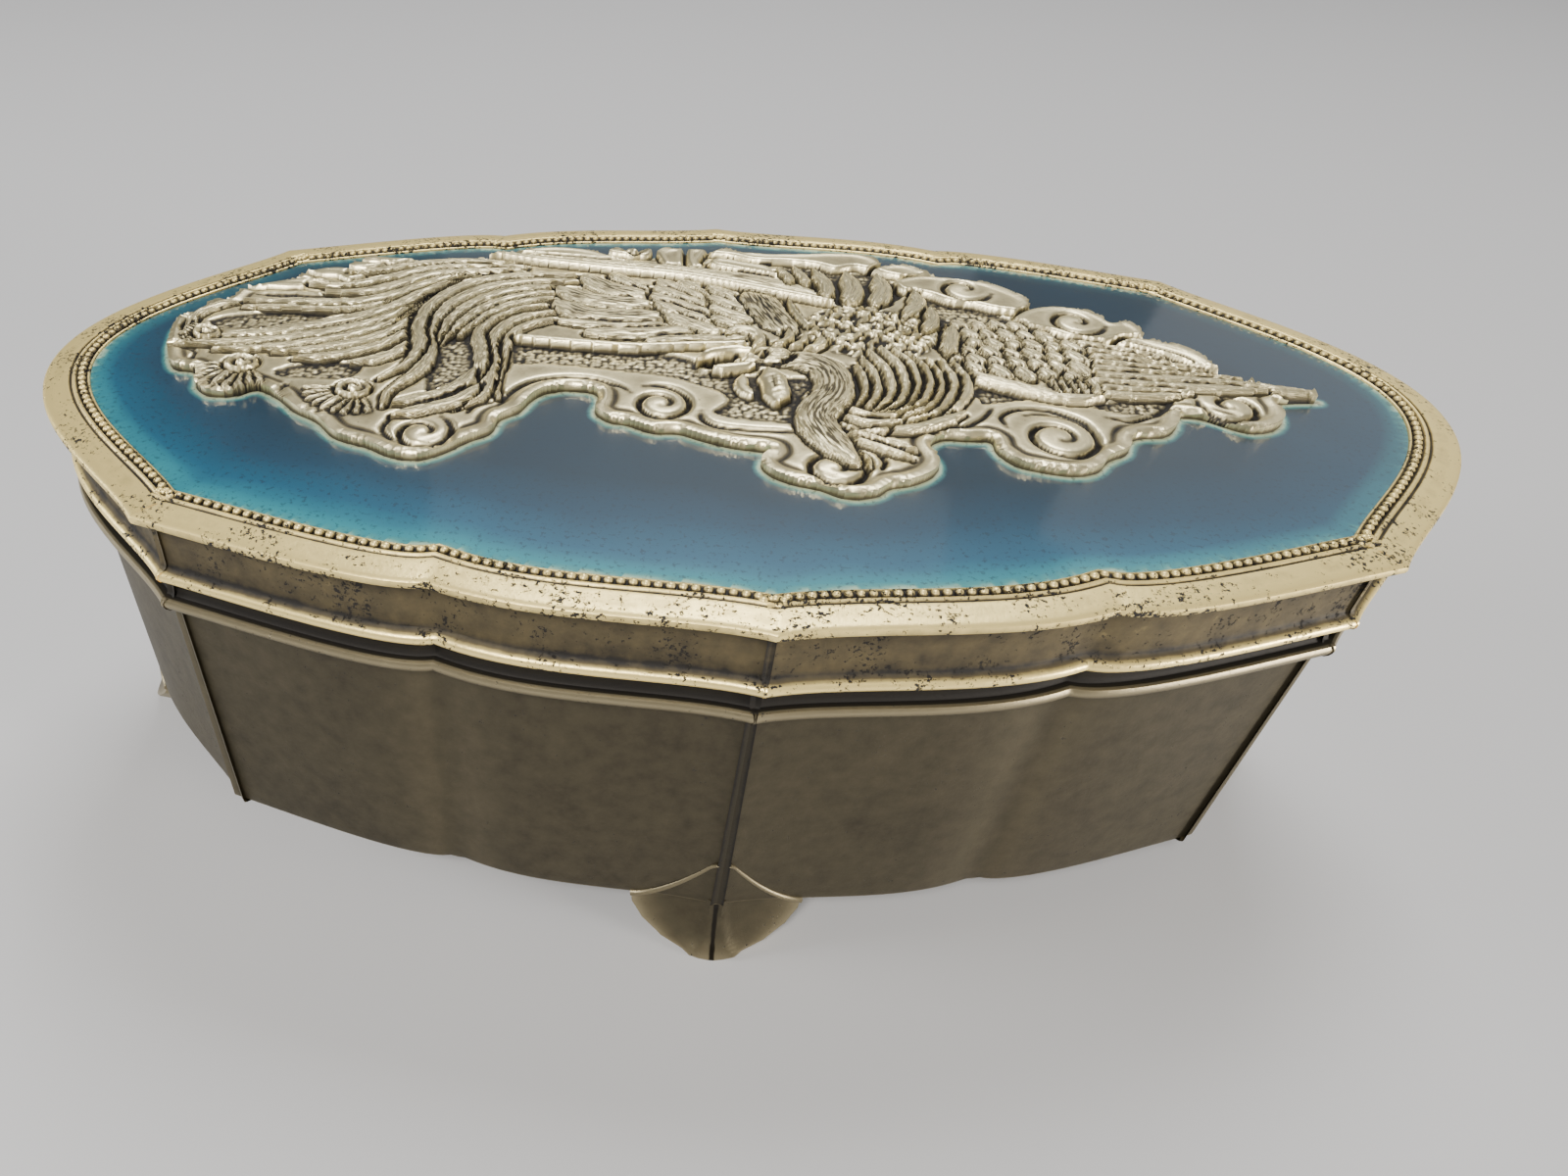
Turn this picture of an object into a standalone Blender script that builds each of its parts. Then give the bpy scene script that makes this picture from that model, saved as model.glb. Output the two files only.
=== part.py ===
"""Oval scalloped trinket box, cast white metal, lift-off lid with a phoenix relief.

Frame: metres, +Z up, X along the box's length, -Y is the front, Z = 0 under the feet.
Two castings: box_body and box_lid. The lid only rests on the body.
"""
import math

import bmesh
import bpy
import numpy as np
from mathutils import Vector
from mathutils.geometry import delaunay_2d_cdt

MM = 0.001

# Plan outline of the lid's rim (one quadrant, mirrored): cusps, notch and curve handles
half_length = 90.5 * MM
half_width = 50.0 * MM
corner_x, corner_y = 68.3 * MM, 35.2 * MM
notch_x, notch_y = 35.0 * MM, 44.0 * MM
front_lobe_handles = ((9.0 * MM, -2.6 * MM), (-11.0 * MM, 5.0 * MM))
side_lobe_handles = ((6.0 * MM, 1.2 * MM), (-10.3 * MM, 3.4 * MM))
end_lobe_handles = ((5.2 * MM, -7.7 * MM), (0.0, 16.0 * MM))
front_steps, side_steps, end_steps = 6, 5, 7

# Heights above the table
foot_height = 8.5 * MM
body_height = 38.9 * MM
lid_seat_height = 2.3 * MM
lid_wall_height = 7.6 * MM

# Body casting
body_wall = 2.8 * MM
floor_thickness = 2.2 * MM
underside_recess = 0.8 * MM
wall_inset_bottom = 3.8 * MM
wall_inset_top = 3.0 * MM
lip_inset = 1.2 * MM
lip_width = 1.5 * MM
lip_height = 2.2 * MM
upstand_height = 2.4 * MM
upstand_width = 1.3 * MM

# Lid casting
lid_gap = 0.35 * MM
lid_play = 0.9 * MM
body_play_x = -0.5 * MM
lid_wall = 2.2 * MM
lid_plate = 2.2 * MM
lid_wall_inset = 2.4 * MM
flange_inset = 1.0 * MM
flange_height = 1.3 * MM
rim_edge = 1.1 * MM
rim_rise = 0.5 * MM
band_width = 3.3 * MM
fillet_width = 0.8 * MM
bead_row_width = 1.4 * MM
bead_rise = 0.5 * MM
field_drop = 0.6 * MM

# Feet: pointed brackets under the two front/back cusps and the two ends
foot_half_width = 11.2 * MM
foot_thickness = 3.2 * MM
foot_flare = 3.0 * MM
foot_tip_half_width = 0.9 * MM
foot_rows = 5
foot_embed = 1.4 * MM

# Relief on the lid
relief_x, relief_y = -0.15 * MM, -1.1 * MM
relief_lean = 2.0
relief_base = 1.25 * MM
relief_edge = 1.0 * MM
relief_embed = 0.9 * MM
relief_pitch = 0.95 * MM
relief_keep = 0.28

WHITE_METAL = (0.55, 0.52, 0.45, 1.0)
LID_METAL = (0.66, 0.61, 0.50, 1.0)


def clear_scene():
    for ob in list(bpy.data.objects):
        bpy.data.objects.remove(ob, do_unlink=True)


def make_material(name, colour, roughness, metallic):
    mat = bpy.data.materials.new(name)
    mat.use_nodes = True
    shader = mat.node_tree.nodes["Principled BSDF"]
    shader.inputs["Base Color"].default_value = colour
    shader.inputs["Roughness"].default_value = roughness
    shader.inputs["Metallic"].default_value = metallic
    return mat


def bezier(p0, h0, h1, p1, steps):
    """Points of a cubic from p0 to p1 (p1 left out); handles are relative to their ends."""
    a, d = Vector(p0), Vector(p1)
    b, c = a + Vector(h0), d + Vector(h1)
    out = []
    for i in range(steps):
        t = i / steps
        s = 1.0 - t
        out.append(s * s * s * a + 3 * s * s * t * b + 3 * s * t * t * c + t * t * t * d)
    return out


def rim_outline():
    """Closed outline of the lid's rim, anticlockwise seen from above."""
    quadrant = (
        bezier((0.0, half_width), *front_lobe_handles, (notch_x, notch_y), front_steps)
        + bezier((notch_x, notch_y), *side_lobe_handles, (corner_x, corner_y), side_steps)
        + bezier((corner_x, corner_y), *end_lobe_handles, (half_length, 0.0), end_steps)
        + [Vector((half_length, 0.0))]
    )
    right = [(p.x, p.y) for p in quadrant] + [(p.x, -p.y) for p in quadrant[-2::-1]]
    left = [(-x, y) for x, y in right[-2:0:-1]]
    return [Vector(p) for p in (right + left)][::-1]


def inset_outline(points, distance):
    """The outline moved inwards by one distance, mitred at every corner."""
    count = len(points)
    moved = []
    for i, p in enumerate(points):
        before = (p - points[i - 1]).normalized()
        after = (points[(i + 1) % count] - p).normalized()
        inward = (Vector((-before.y, before.x)) + Vector((-after.y, after.x))).normalized()
        mitre = inward.dot(Vector((-after.y, after.x)))
        moved.append(p + inward * (distance / max(mitre, 0.5)))
    return moved


def ringed_solid(name, rings, first_centre, last_centre, material):
    """A closed solid from rings of one outline, capped by a point at each end."""
    bm = bmesh.new()
    loops = [[bm.verts.new((p.x, p.y, z)) for p in ring] for ring, z in rings]
    count = len(loops[0])
    for low, high in zip(loops, loops[1:]):
        for i in range(count):
            j = (i + 1) % count
            bm.faces.new((low[i], low[j], high[j], high[i]))
    for loop, centre, flip in ((loops[0], first_centre, True), (loops[-1], last_centre, False)):
        hub = bm.verts.new(centre)
        for i in range(count):
            pair = (loop[i], loop[(i + 1) % count])
            bm.faces.new((hub,) + (pair[::-1] if flip else pair))
    bmesh.ops.recalc_face_normals(bm, faces=bm.faces)
    return object_from(name, bm, material)


def object_from(name, bm, material):
    mesh = bpy.data.meshes.new(name)
    bm.to_mesh(mesh)
    bm.free()
    mesh.materials.append(material)
    mesh.shade_smooth()
    mesh.set_sharp_from_angle(angle=math.radians(35))
    ob = bpy.data.objects.new(name, mesh)
    bpy.context.scene.collection.objects.link(ob)
    return ob


def guide(ob):
    ob.hide_render = True
    ob.display_type = "WIRE"


def union(target, other, name):
    guide(other)
    mod = target.modifiers.new(name, "BOOLEAN")
    mod.operation = "UNION"
    mod.solver = "EXACT"
    mod.object = other


OUTLINE = rim_outline()
body_top = foot_height + body_height
seat_z = body_top + lid_seat_height
lid_bottom = seat_z + lid_gap
rim_bottom = lid_bottom + flange_height + lid_wall_height
rim_top = rim_bottom + rim_edge
field_z = rim_top + rim_rise - field_drop
plate_under = field_z - lid_plate
lid_inner_inset = lid_wall_inset + lid_wall
upstand_inset = lid_inner_inset + lid_play
upstand_z = seat_z + upstand_height
inner_inset_bottom = wall_inset_bottom + body_wall


def build_body(material):
    floor_z = foot_height + underside_recess + floor_thickness
    step_inset = lip_inset + lip_width
    profile = (
        (wall_inset_bottom + body_wall * 0.6, foot_height + underside_recess),
        (wall_inset_bottom + body_wall * 0.5, foot_height),
        (wall_inset_bottom, foot_height),
        (wall_inset_top, body_top - lip_height),
        (lip_inset + 0.4 * MM, body_top - lip_height + 0.7 * MM),
        (lip_inset, body_top - 0.9 * MM),
        (lip_inset + 0.4 * MM, body_top - 0.2 * MM),
        (step_inset, body_top),
        (step_inset + 0.5 * MM, seat_z),
        (upstand_inset - 0.1 * MM, seat_z),
        (upstand_inset, upstand_z),
        (upstand_inset + upstand_width, upstand_z),
        (max(inner_inset_bottom, upstand_inset + upstand_width), floor_z),
    )
    rings = [(inset_outline(OUTLINE, inset), z) for inset, z in profile]
    return ringed_solid(
        "box_body", rings,
        (0.0, 0.0, foot_height + underside_recess), (0.0, 0.0, floor_z), material,
    )


def foot_half_at(share):
    """Half width of the foot at a share of its height: a pointed, rounded bracket."""
    return foot_tip_half_width + (foot_half_width - foot_tip_half_width) * share ** 0.62


def build_foot(name, axis, material):
    """A bracket foot, folded along its middle, that springs from the wall and flares to its tip."""
    reach = half_width if axis == "y" else half_length
    wall_inset = wall_inset_bottom + 0.5 * MM
    bm = bmesh.new()
    rows = []
    for i in range(foot_rows + 2):
        share = min(i / foot_rows, 1.0)
        z = foot_height * share if i <= foot_rows else foot_height + foot_embed
        half = foot_half_at(share)
        flare = foot_flare * (1.0 - share) ** 1.6
        outer = reach - wall_inset + flare
        row = []
        for side in (-1.0, -0.5, 0.0, 0.5, 1.0):
            fall = wall_fall(axis, side * half) * share
            row.append((side * half, outer - fall - 0.2 * MM * abs(side)))
        for side in (1.0, -1.0):
            fall = wall_fall(axis, side * half) * share
            row.append((side * half * 0.92, outer - fall - foot_thickness * (0.55 + 0.45 * share)))
        rows.append([bm.verts.new((a, -d, z) if axis == "y" else (d, a, z)) for a, d in row])
    count = len(rows[0])
    for low, high in zip(rows, rows[1:]):
        for i in range(count):
            j = (i + 1) % count
            bm.faces.new((low[i], low[j], high[j], high[i]))
    bm.faces.new(rows[0])
    bm.faces.new(rows[-1])
    bmesh.ops.recalc_face_normals(bm, faces=bm.faces)
    return object_from(name, bm, material)


def wall_fall(axis, along):
    """How far the outline has fallen back at a distance along from the cusp or the end."""
    best = 0.0
    reach = half_width if axis == "y" else half_length
    for a, b in zip(OUTLINE, OUTLINE[1:] + OUTLINE[:1]):
        pa, pb = ((a.x, a.y), (b.x, b.y)) if axis == "y" else ((a.y, a.x), (b.y, b.x))
        low, high = min(pa[0], pb[0]), max(pa[0], pb[0])
        if pa[1] > 0 and pb[1] > 0 and low <= along <= high and high > low:
            share = (along - pa[0]) / (pb[0] - pa[0])
            best = reach - (pa[1] + (pb[1] - pa[1]) * share)
    return best


def build_lid(material):
    bead_inset = band_width + fillet_width
    field_inset = bead_inset + bead_row_width
    wall_top = rim_bottom
    profile = (
        (lid_inner_inset, plate_under),
        (lid_inner_inset, lid_bottom),
        (flange_inset + 0.4 * MM, lid_bottom),
        (flange_inset, lid_bottom + 0.5 * MM),
        (flange_inset + 0.3 * MM, lid_bottom + flange_height),
        (lid_wall_inset, lid_bottom + flange_height + 0.8 * MM),
        (lid_wall_inset, wall_top - 0.6 * MM),
        (0.4 * MM, wall_top),
        (0.0, wall_top + rim_edge * 0.5),
        (0.3 * MM, rim_top),
        (band_width, rim_top + rim_rise),
        (band_width + 0.2 * MM, rim_top + rim_rise - 0.25 * MM),
        (bead_inset, rim_top + rim_rise + 0.1 * MM),
        (bead_inset + bead_row_width * 0.5, rim_top + rim_rise + bead_rise),
        (field_inset, field_z),
    )
    rings = [(inset_outline(OUTLINE, inset), z) for inset, z in profile]
    return ringed_solid(
        "box_lid", rings, (0.0, 0.0, plate_under), (0.0, 0.0, field_z), material,
    )


# The relief. Its figures are drawn in plan, in millimetres, over its own origin. They were
# drawn level with its flat parts, so what swells above them is leaned forward by its rise.
RELIEF_EDGE = (
    (-76, 3), (-76.8, 9), (-74.5, 13), (-71.5, 16), (-70.3, 20), (-67, 22), (-64, 23),
    (-62.5, 26), (-59.5, 27.5), (-57, 27.5), (-55, 30.5), (-53, 32.2), (-49, 32),
    (-44, 31.8), (-40, 33.2), (-34, 34), (-31, 36.5), (-26, 37.8), (-21, 37.3), (-18, 36.2),
    (-16, 38.4), (-12.5, 38.3), (-10.5, 36.8), (-8.5, 38.6), (-4, 39), (0, 38.6),
    (3, 37.5), (8, 37.2), (13, 37.7), (17, 38.3), (21, 38.2), (23.8, 36.7), (24.8, 34.4),
    (27.5, 34.8), (31, 32.3), (34.5, 31), (38, 30), (41, 27.5), (43.6, 24.5), (44.5, 22.4),
    (48, 22.2), (51.5, 21.5), (53.3, 19), (56, 18.2), (57.8, 15.5), (57.8, 13), (61, 11.3),
    (63.3, 8.5), (64.4, 4.9), (67.3, 3), (73.6, 0.5), (74.9, -0.5), (71.6, 0), (68.8, -1),
    (68.5, -3.8), (67.4, -6.4), (65, -8.2), (62.2, -8.6), (59.8, -7.2), (57.6, -5.7),
    (55, -5.6), (53.6, -8.2), (51.4, -10.3), (48, -10.9), (46.6, -12), (45.4, -14.4),
    (42.4, -16.4), (40.6, -18.6), (37.4, -19.7), (33.8, -19.1), (31.2, -18), (29.6, -15.4),
    (29.4, -13), (26.6, -13), (23.6, -13), (21.6, -15), (22, -18.2), (20.8, -20.9),
    (18, -22.9), (15.4, -23.7), (13.4, -25.4), (9.9, -25.9), (7.3, -24.5), (4.2, -23.5),
    (1.8, -21.9), (1, -19.6), (2.4, -17.3), (-1.8, -16.5), (-5.4, -15.2), (-8.4, -13.8),
    (-11.5, -13.8), (-14.5, -12.3), (-17, -11.6), (-18.6, -9.6), (-18.2, -7), (-18.8, -5),
    (-22, -4.4), (-25, -5.4), (-26.8, -7.6), (-28, -10.2), (-30.3, -12.4), (-31, -15.2),
    (-33.8, -17.5), (-35.7, -19.5), (-38.6, -21.4), (-42.1, -21.1), (-45.2, -19.3),
    (-49.3, -17.6), (-52.2, -14.3), (-55.4, -12.1), (-58.4, -9), (-61.4, -7.2), (-63.5, -8.6),
    (-66.8, -9), (-69.2, -7), (-70.2, -3.6), (-73.4, -2.6), (-74.9, 0),
)

# Guide curves of the tail plumes; those between two guides are blended from them
PLUME_GUIDES = (
    ((-17, 29.8), (-30, 30), (-42, 28.4), (-51, 25), (-59, 23.4), (-68, 20.8)),
    ((-18, 28.4), (-31, 28), (-42, 24.8), (-51, 19.4), (-62, 16.6), (-75, 9.5)),
    ((-20, 26.8), (-33, 25.4), (-42, 20), (-50, 13), (-60, 8.6), (-74.5, 3.6)),
    ((-22, 24.2), (-33, 22.4), (-40.5, 15.6), (-46.5, 8.6), (-55, 3.4), (-65, -2)),
    ((-24, 21.6), (-32, 19), (-38.6, 12.6), (-43.4, 5.6), (-47, -1), (-50, -9)),
    ((-25, 17.6), (-30.6, 15.2), (-35.4, 10), (-39.8, 3.6), (-43, -4), (-46.6, -13)),
)
PLUME_BLENDS = (2, 3, 3, 3, 3)
PLUME_WIDTH, PLUME_RISE = 1.15, 0.55

# Free strokes: points, half width, rise
STROKES = (
    # inner plumes that fall to the front edge
    (((-24, 14.6), (-29, 12), (-32.4, 8), (-34.6, 3), (-36, -3), (-43.5, -14.5)), 1.3, 0.6),
    (((-23, 11.6), (-28, 9.6), (-31, 5.4), (-32, 0), (-33.4, -7), (-37.5, -12)), 1.2, 0.6),
    # cloud bands along the front
    (((-29.6, -13), (-28.6, -8), (-26, -4.6), (-21.5, -3.6), (-16, -4.6)), 1.5, 0.6),
    (((-5.4, -9), (-4.6, -12.2), (0, -13), (6.5, -13.4)), 1.2, 0.55),
    (((-9, -14.2), (-3, -16.4), (2, -17)), 1.3, 0.55),
    (((22, -14), (26, -12.8), (29.4, -10.8), (32, -7.4)), 1.5, 0.55),
    (((28, -8), (33, -5.4), (38.5, -4.6), (43, -7)), 1.3, 0.5),
    (((46, -11), (50, -10.6), (53, -7.2), (57, -6)), 1.4, 0.55),
    (((45, -6.6), (49, -8), (52.6, -5)), 1.0, 0.5),
    (((55, 12.6), (60.4, 10), (62.4, 5.6)), 1.5, 0.6),
    # clouds along the back
    (((0, 37), (6, 35.6), (13, 35), (19, 35.6), (23, 35)), 2.2, 0.7),
    (((-1.5, 33.4), (4, 31.8), (8, 29.8)), 1.6, 0.6),
    (((25.6, 32.6), (29, 31.6), (33, 29.6)), 1.6, 0.55),
    (((25, 28.4), (30, 24.8), (36, 22), (42.5, 21.4)), 1.6, 0.6),
    (((41, 17.4), (46, 14.4), (51, 13), (55, 15)), 1.6, 0.6),
    (((-30, 35), (-24, 36), (-17, 34)), 1.6, 0.5),
    (((-9, 37), (-7.4, 34.6), (-6.6, 32.8)), 1.6, 0.6),
    (((-3.6, 37.4), (-5, 35), (-3.4, 32.4)), 1.4, 0.6),
    (((-55, 30.6), (-50, 30.4), (-44, 30)), 1.2, 0.5),
    (((-63, 24.4), (-59, 25.4), (-56.6, 23.6), (-58, 21.4)), 1.2, 0.5),
    # left wing: flight feathers, coverts
    (((-21, 27), (-17, 23.4), (-12.5, 21.8)), 1.8, 0.7),
    (((-17, 28), (-14, 25.4), (-12.2, 23.6)), 1.1, 0.6),
    (((-24.6, 22.6), (-19.5, 19.6), (-12, 18.6)), 1.6, 0.7),
    (((-24.6, 17.8), (-19.5, 14.6), (-10.4, 14.8)), 1.8, 0.7),
    (((-20, 10), (-13, 10.4), (-6, 11.6)), 1.4, 0.6),
    (((-10, 26.4), (-6, 23.4), (-3.4, 20.2)), 1.2, 0.6),
    (((-7, 27), (-3.6, 24.6), (-1.4, 21.8)), 1.1, 0.6),
    (((-11, 22.6), (-7, 19.8), (-2.8, 17)), 1.2, 0.6),
    (((-10.4, 19.2), (-7, 16.6), (-2.8, 14)), 1.2, 0.6),
    (((-8.6, 15.4), (-5.4, 12.6), (-1.8, 10.6)), 1.2, 0.6),
    (((-2.8, 25), (0, 22.8), (2.2, 20.4)), 1.1, 0.6),
    (((-2.6, 21), (0, 19.2), (2.2, 17.2)), 1.1, 0.6),
    (((-2.6, 17.6), (0, 15.8), (2.4, 14.2)), 1.1, 0.6),
    (((-2.6, 14.6), (0, 13.2), (2.8, 11.6)), 1.0, 0.6),
    (((4.5, 23.6), (6, 18), (7.4, 12.4)), 3.0, 0.6),
    # left wing: leading edge and the lower bar
    (((-36, 33.8), (-28, 32.2), (-18, 30.4), (-8, 28.9), (0, 26.6), (8, 23.6), (14.6, 20.8)), 1.3, 1.2),
    (((2, 29.4), (8, 27), (14, 23)), 1.6, 0.8),
    (((-29.6, 7.2), (-22, 6.4), (-14, 5.8), (-6, 6.8), (1, 7.6)), 1.1, 0.9),
    # feathers standing off the back
    (((15.8, 21), (17.6, 25), (19.6, 29.8)), 1.5, 0.9),
    (((20, 21), (22.6, 25), (24.2, 29.6)), 1.3, 0.8),
    (((25, 17), (27.6, 20), (28.4, 24.4)), 1.3, 0.8),
    (((13.6, 25.6), (13.2, 29), (11, 33)), 1.1, 0.6),
    # breast feathers
    (((15.4, 8), (17, 1), (15.4, -7)), 1.0, 0.7),
    (((18, 7), (19.2, 0), (16.6, -8.4)), 1.0, 0.7),
    (((20.8, 6), (21.6, -1), (17.8, -9.6)), 1.0, 0.7),
    (((23.6, 5.4), (23.8, -2), (18.8, -10.8)), 1.0, 0.7),
    (((26.4, 5), (26, -3), (20, -12)), 1.0, 0.7),
    (((28.6, 4), (27.8, -4), (22.4, -11.6)), 1.0, 0.7),
    (((12.8, -10), (17, -12), (21.5, -13.6)), 1.1, 0.7),
    (((12.6, -13), (16, -15), (20, -18.6)), 1.0, 0.6),
    # right wing: leading edge and long flight feathers
    (((28.5, 2.4), (33, -0.4), (37.4, -2.8), (41.4, -3.9), (45.4, -3.4)), 1.5, 0.9),
    (((44, 12), (50, 10.8), (56, 8.6), (60.5, 6)), 0.9, 0.6),
    (((44, 9.4), (51, 8), (58, 6.2), (64.2, 4)), 0.9, 0.6),
    (((44, 6.8), (52, 5.4), (60, 4), (68.2, 1.9)), 0.9, 0.7),
    (((44, 4.2), (52, 3), (61, 2.2), (74.2, -0.2)), 0.9, 0.7),
    (((44, 1.6), (52, 0.4), (60, -0.2), (67.2, -0.7)), 0.8, 0.6),
    (((45, -1), (52, -2.2), (58, -2.4)), 0.8, 0.5),
    # wattles, neck, crest and the two halves of the beak
    (((1, 0.6), (0.2, -3), (1.2, -6)), 0.9, 0.7),
    (((4, 0.2), (4.6, -3.2), (3.4, -6.8)), 1.4, 0.8),
    (((3, 4.4), (8, 5.4), (12.6, 3), (13.4, -2), (10.8, -6), (8, -10.4), (8.6, -15), (11.4, -20)), 2.3, 1.3),
    (((-5.6, 2), (-3, 4.2), (1, 5.2), (4, 4)), 1.1, 1.0),
    (((-4, 0.6), (-1, 0.9), (2.6, 1.8)), 0.9, 0.8),
)

# Scrolls of the clouds: centre, radius, start angle in degrees, turning sense
SCROLLS = (
    ((-39.6, -16.8), 3.6, 200, 1), ((-35, -14.6), 2.6, 20, -1), ((-10.4, -8), 4.4, 160, -1),
    ((9.2, -21.2), 4.0, 160, -1), ((37.4, -13.2), 5.4, 150, -1), ((62.2, -4), 3.8, 170, -1),
    ((48.6, 17.8), 4.4, 200, -1), ((35, 27), 4.0, 190, 1), ((-13.8, 36), 2.4, 180, -1),
    ((-65, -3), 3.6, 120, -1), ((-49.4, -8.6), 3.6, 120, -1), ((-71.8, 6.6), 2.6, 120, -1),
)
SCROLL_RISE, SCROLL_GROOVE = 0.7, 0.5

# Rows of small covert feathers on the right wing: row start, row end, count
COVERT_ROWS = (
    ((27, 14), (41, 15.4), 6), ((28, 11.6), (44.5, 12), 7), ((28.6, 8.8), (45, 8.6), 7),
    ((29.4, 6), (44.6, 5.2), 6), ((31, 3.2), (44, 1.6), 5),
)
COVERT_LENGTH, COVERT_WIDTH, COVERT_RISE = 2.6, 0.95, 0.6

# Tufts of down on the bird's body: a spiral of lumps
DOWN_CENTRE, DOWN_RADIUS, DOWN_COUNT, DOWN_SIZE, DOWN_RISE = (18.5, 13.4), (9.0, 6.8), 34, 1.2, 0.6

# Broad swells under the figures: centre, reach, rise
SWELLS = (
    ((17, 10), (12, 12), 0.6), ((10, -4), (8, 12), 0.4), ((0, 24), (20, 8), 0.3),
    ((-50, 8), (26, 18), 0.3), ((38, 6), (12, 9), 0.3),
)


def smooth_line(points, step=0.8):
    """A Catmull-Rom curve through the points, sampled about every step."""
    pts = np.array(points, float)
    ext = np.vstack([2 * pts[0] - pts[1], pts, 2 * pts[-1] - pts[-2]])
    out = []
    for i in range(len(pts) - 1):
        p0, p1, p2, p3 = ext[i:i + 4]
        count = max(2, int(np.linalg.norm(p2 - p1) / step))
        t = (np.arange(count) / count)[:, None]
        out.append(0.5 * (2 * p1 + (p2 - p0) * t + (2 * p0 - 5 * p1 + 4 * p2 - p3) * t ** 2
                          + (3 * p1 - p0 - 3 * p2 + p3) * t ** 3))
    out.append(pts[-1:])
    return np.vstack(out)


def blend_guides():
    lines = []
    for (a, b), count in zip(zip(PLUME_GUIDES, PLUME_GUIDES[1:]), PLUME_BLENDS):
        for i in range(count):
            s = i / count
            lines.append((np.array(a) * (1 - s) + np.array(b) * s, PLUME_WIDTH, PLUME_RISE))
    lines.append((np.array(PLUME_GUIDES[-1]), PLUME_WIDTH, PLUME_RISE))
    return lines


def covert_lines():
    lines = []
    for start, end, count in COVERT_ROWS:
        for i in range(count):
            c = np.array(start) + (np.array(end) - np.array(start)) * (i / (count - 1))
            d = np.array((0.42, -0.9)) * COVERT_LENGTH * 0.5
            lines.append((np.array((c - d, c + 0.3, c + d)), COVERT_WIDTH, COVERT_RISE))
    return lines


def down_lines():
    lines = []
    for i in range(DOWN_COUNT):
        r, a = math.sqrt((i + 0.5) / DOWN_COUNT), i * 2.39996
        c = np.array(DOWN_CENTRE) + np.array(DOWN_RADIUS) * r * np.array((math.cos(a), math.sin(a)))
        d = np.array((math.cos(a * 1.7), math.sin(a * 1.7))) * DOWN_SIZE * 0.7
        lines.append((np.array((c - d, c, c + d)), DOWN_SIZE, DOWN_RISE))
    return lines


def distance_to_line(x, y, line):
    """Distance from each point to a sampled line, and the share along it."""
    a, b = line[:-1], line[1:]
    ab = b - a
    px, py = x[:, None] - a[:, 0], y[:, None] - a[:, 1]
    t = np.clip((px * ab[:, 0] + py * ab[:, 1]) / (ab ** 2).sum(1), 0, 1)
    d = np.hypot(px - t * ab[:, 0], py - t * ab[:, 1])
    k = d.argmin(1)
    rows = np.arange(len(x))
    return d[rows, k], (k + t[rows, k]) / len(a)


def swell_at(x, y):
    swell = np.zeros_like(x)
    for (cx, cy), (rx, ry), rise in SWELLS:
        swell += rise * np.exp(-((x - cx) / rx) ** 2 - ((y - cy) / ry) ** 2)
    return swell


def relief_rise(x, y):
    """Rise of the relief over its base, in millimetres, at points in plan."""
    swell = swell_at(x, y)
    rise = swell.copy()
    order = blend_guides() + list(STROKES[:34]) + covert_lines() + down_lines() + list(STROKES[34:])
    for points, half, height in order:
        line = smooth_line(points)
        near = ((x > line[:, 0].min() - half) & (x < line[:, 0].max() + half)
                & (y > line[:, 1].min() - half) & (y < line[:, 1].max() + half))
        where = np.nonzero(near)[0]
        if len(where) == 0:
            continue
        d, t = distance_to_line(x[where], y[where], line)
        local = half * np.minimum(1.0, 0.35 + 3.0 * np.minimum(t, 1 - t))
        u = d / local
        inside = u < 1
        rise[where[inside]] = (swell[where] + height * np.sqrt(np.clip(1 - u ** 2, 0, 1)))[inside]
    for (cx, cy), radius, start, sense in SCROLLS:
        r, a = np.hypot(x - cx, y - cy), np.arctan2(y - cy, x - cx)
        inside = r < radius
        turn = (sense * (a - math.radians(start)) / (2 * math.pi)) % 1.0
        wave = np.cos(2 * math.pi * (r / radius * 2.0 - turn))
        dome = SCROLL_RISE * (1 - 0.35 * (r / radius) ** 2) - SCROLL_GROOVE * (wave < -0.35)
        rise[inside] = (swell + dome)[inside]
    return rise


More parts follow.
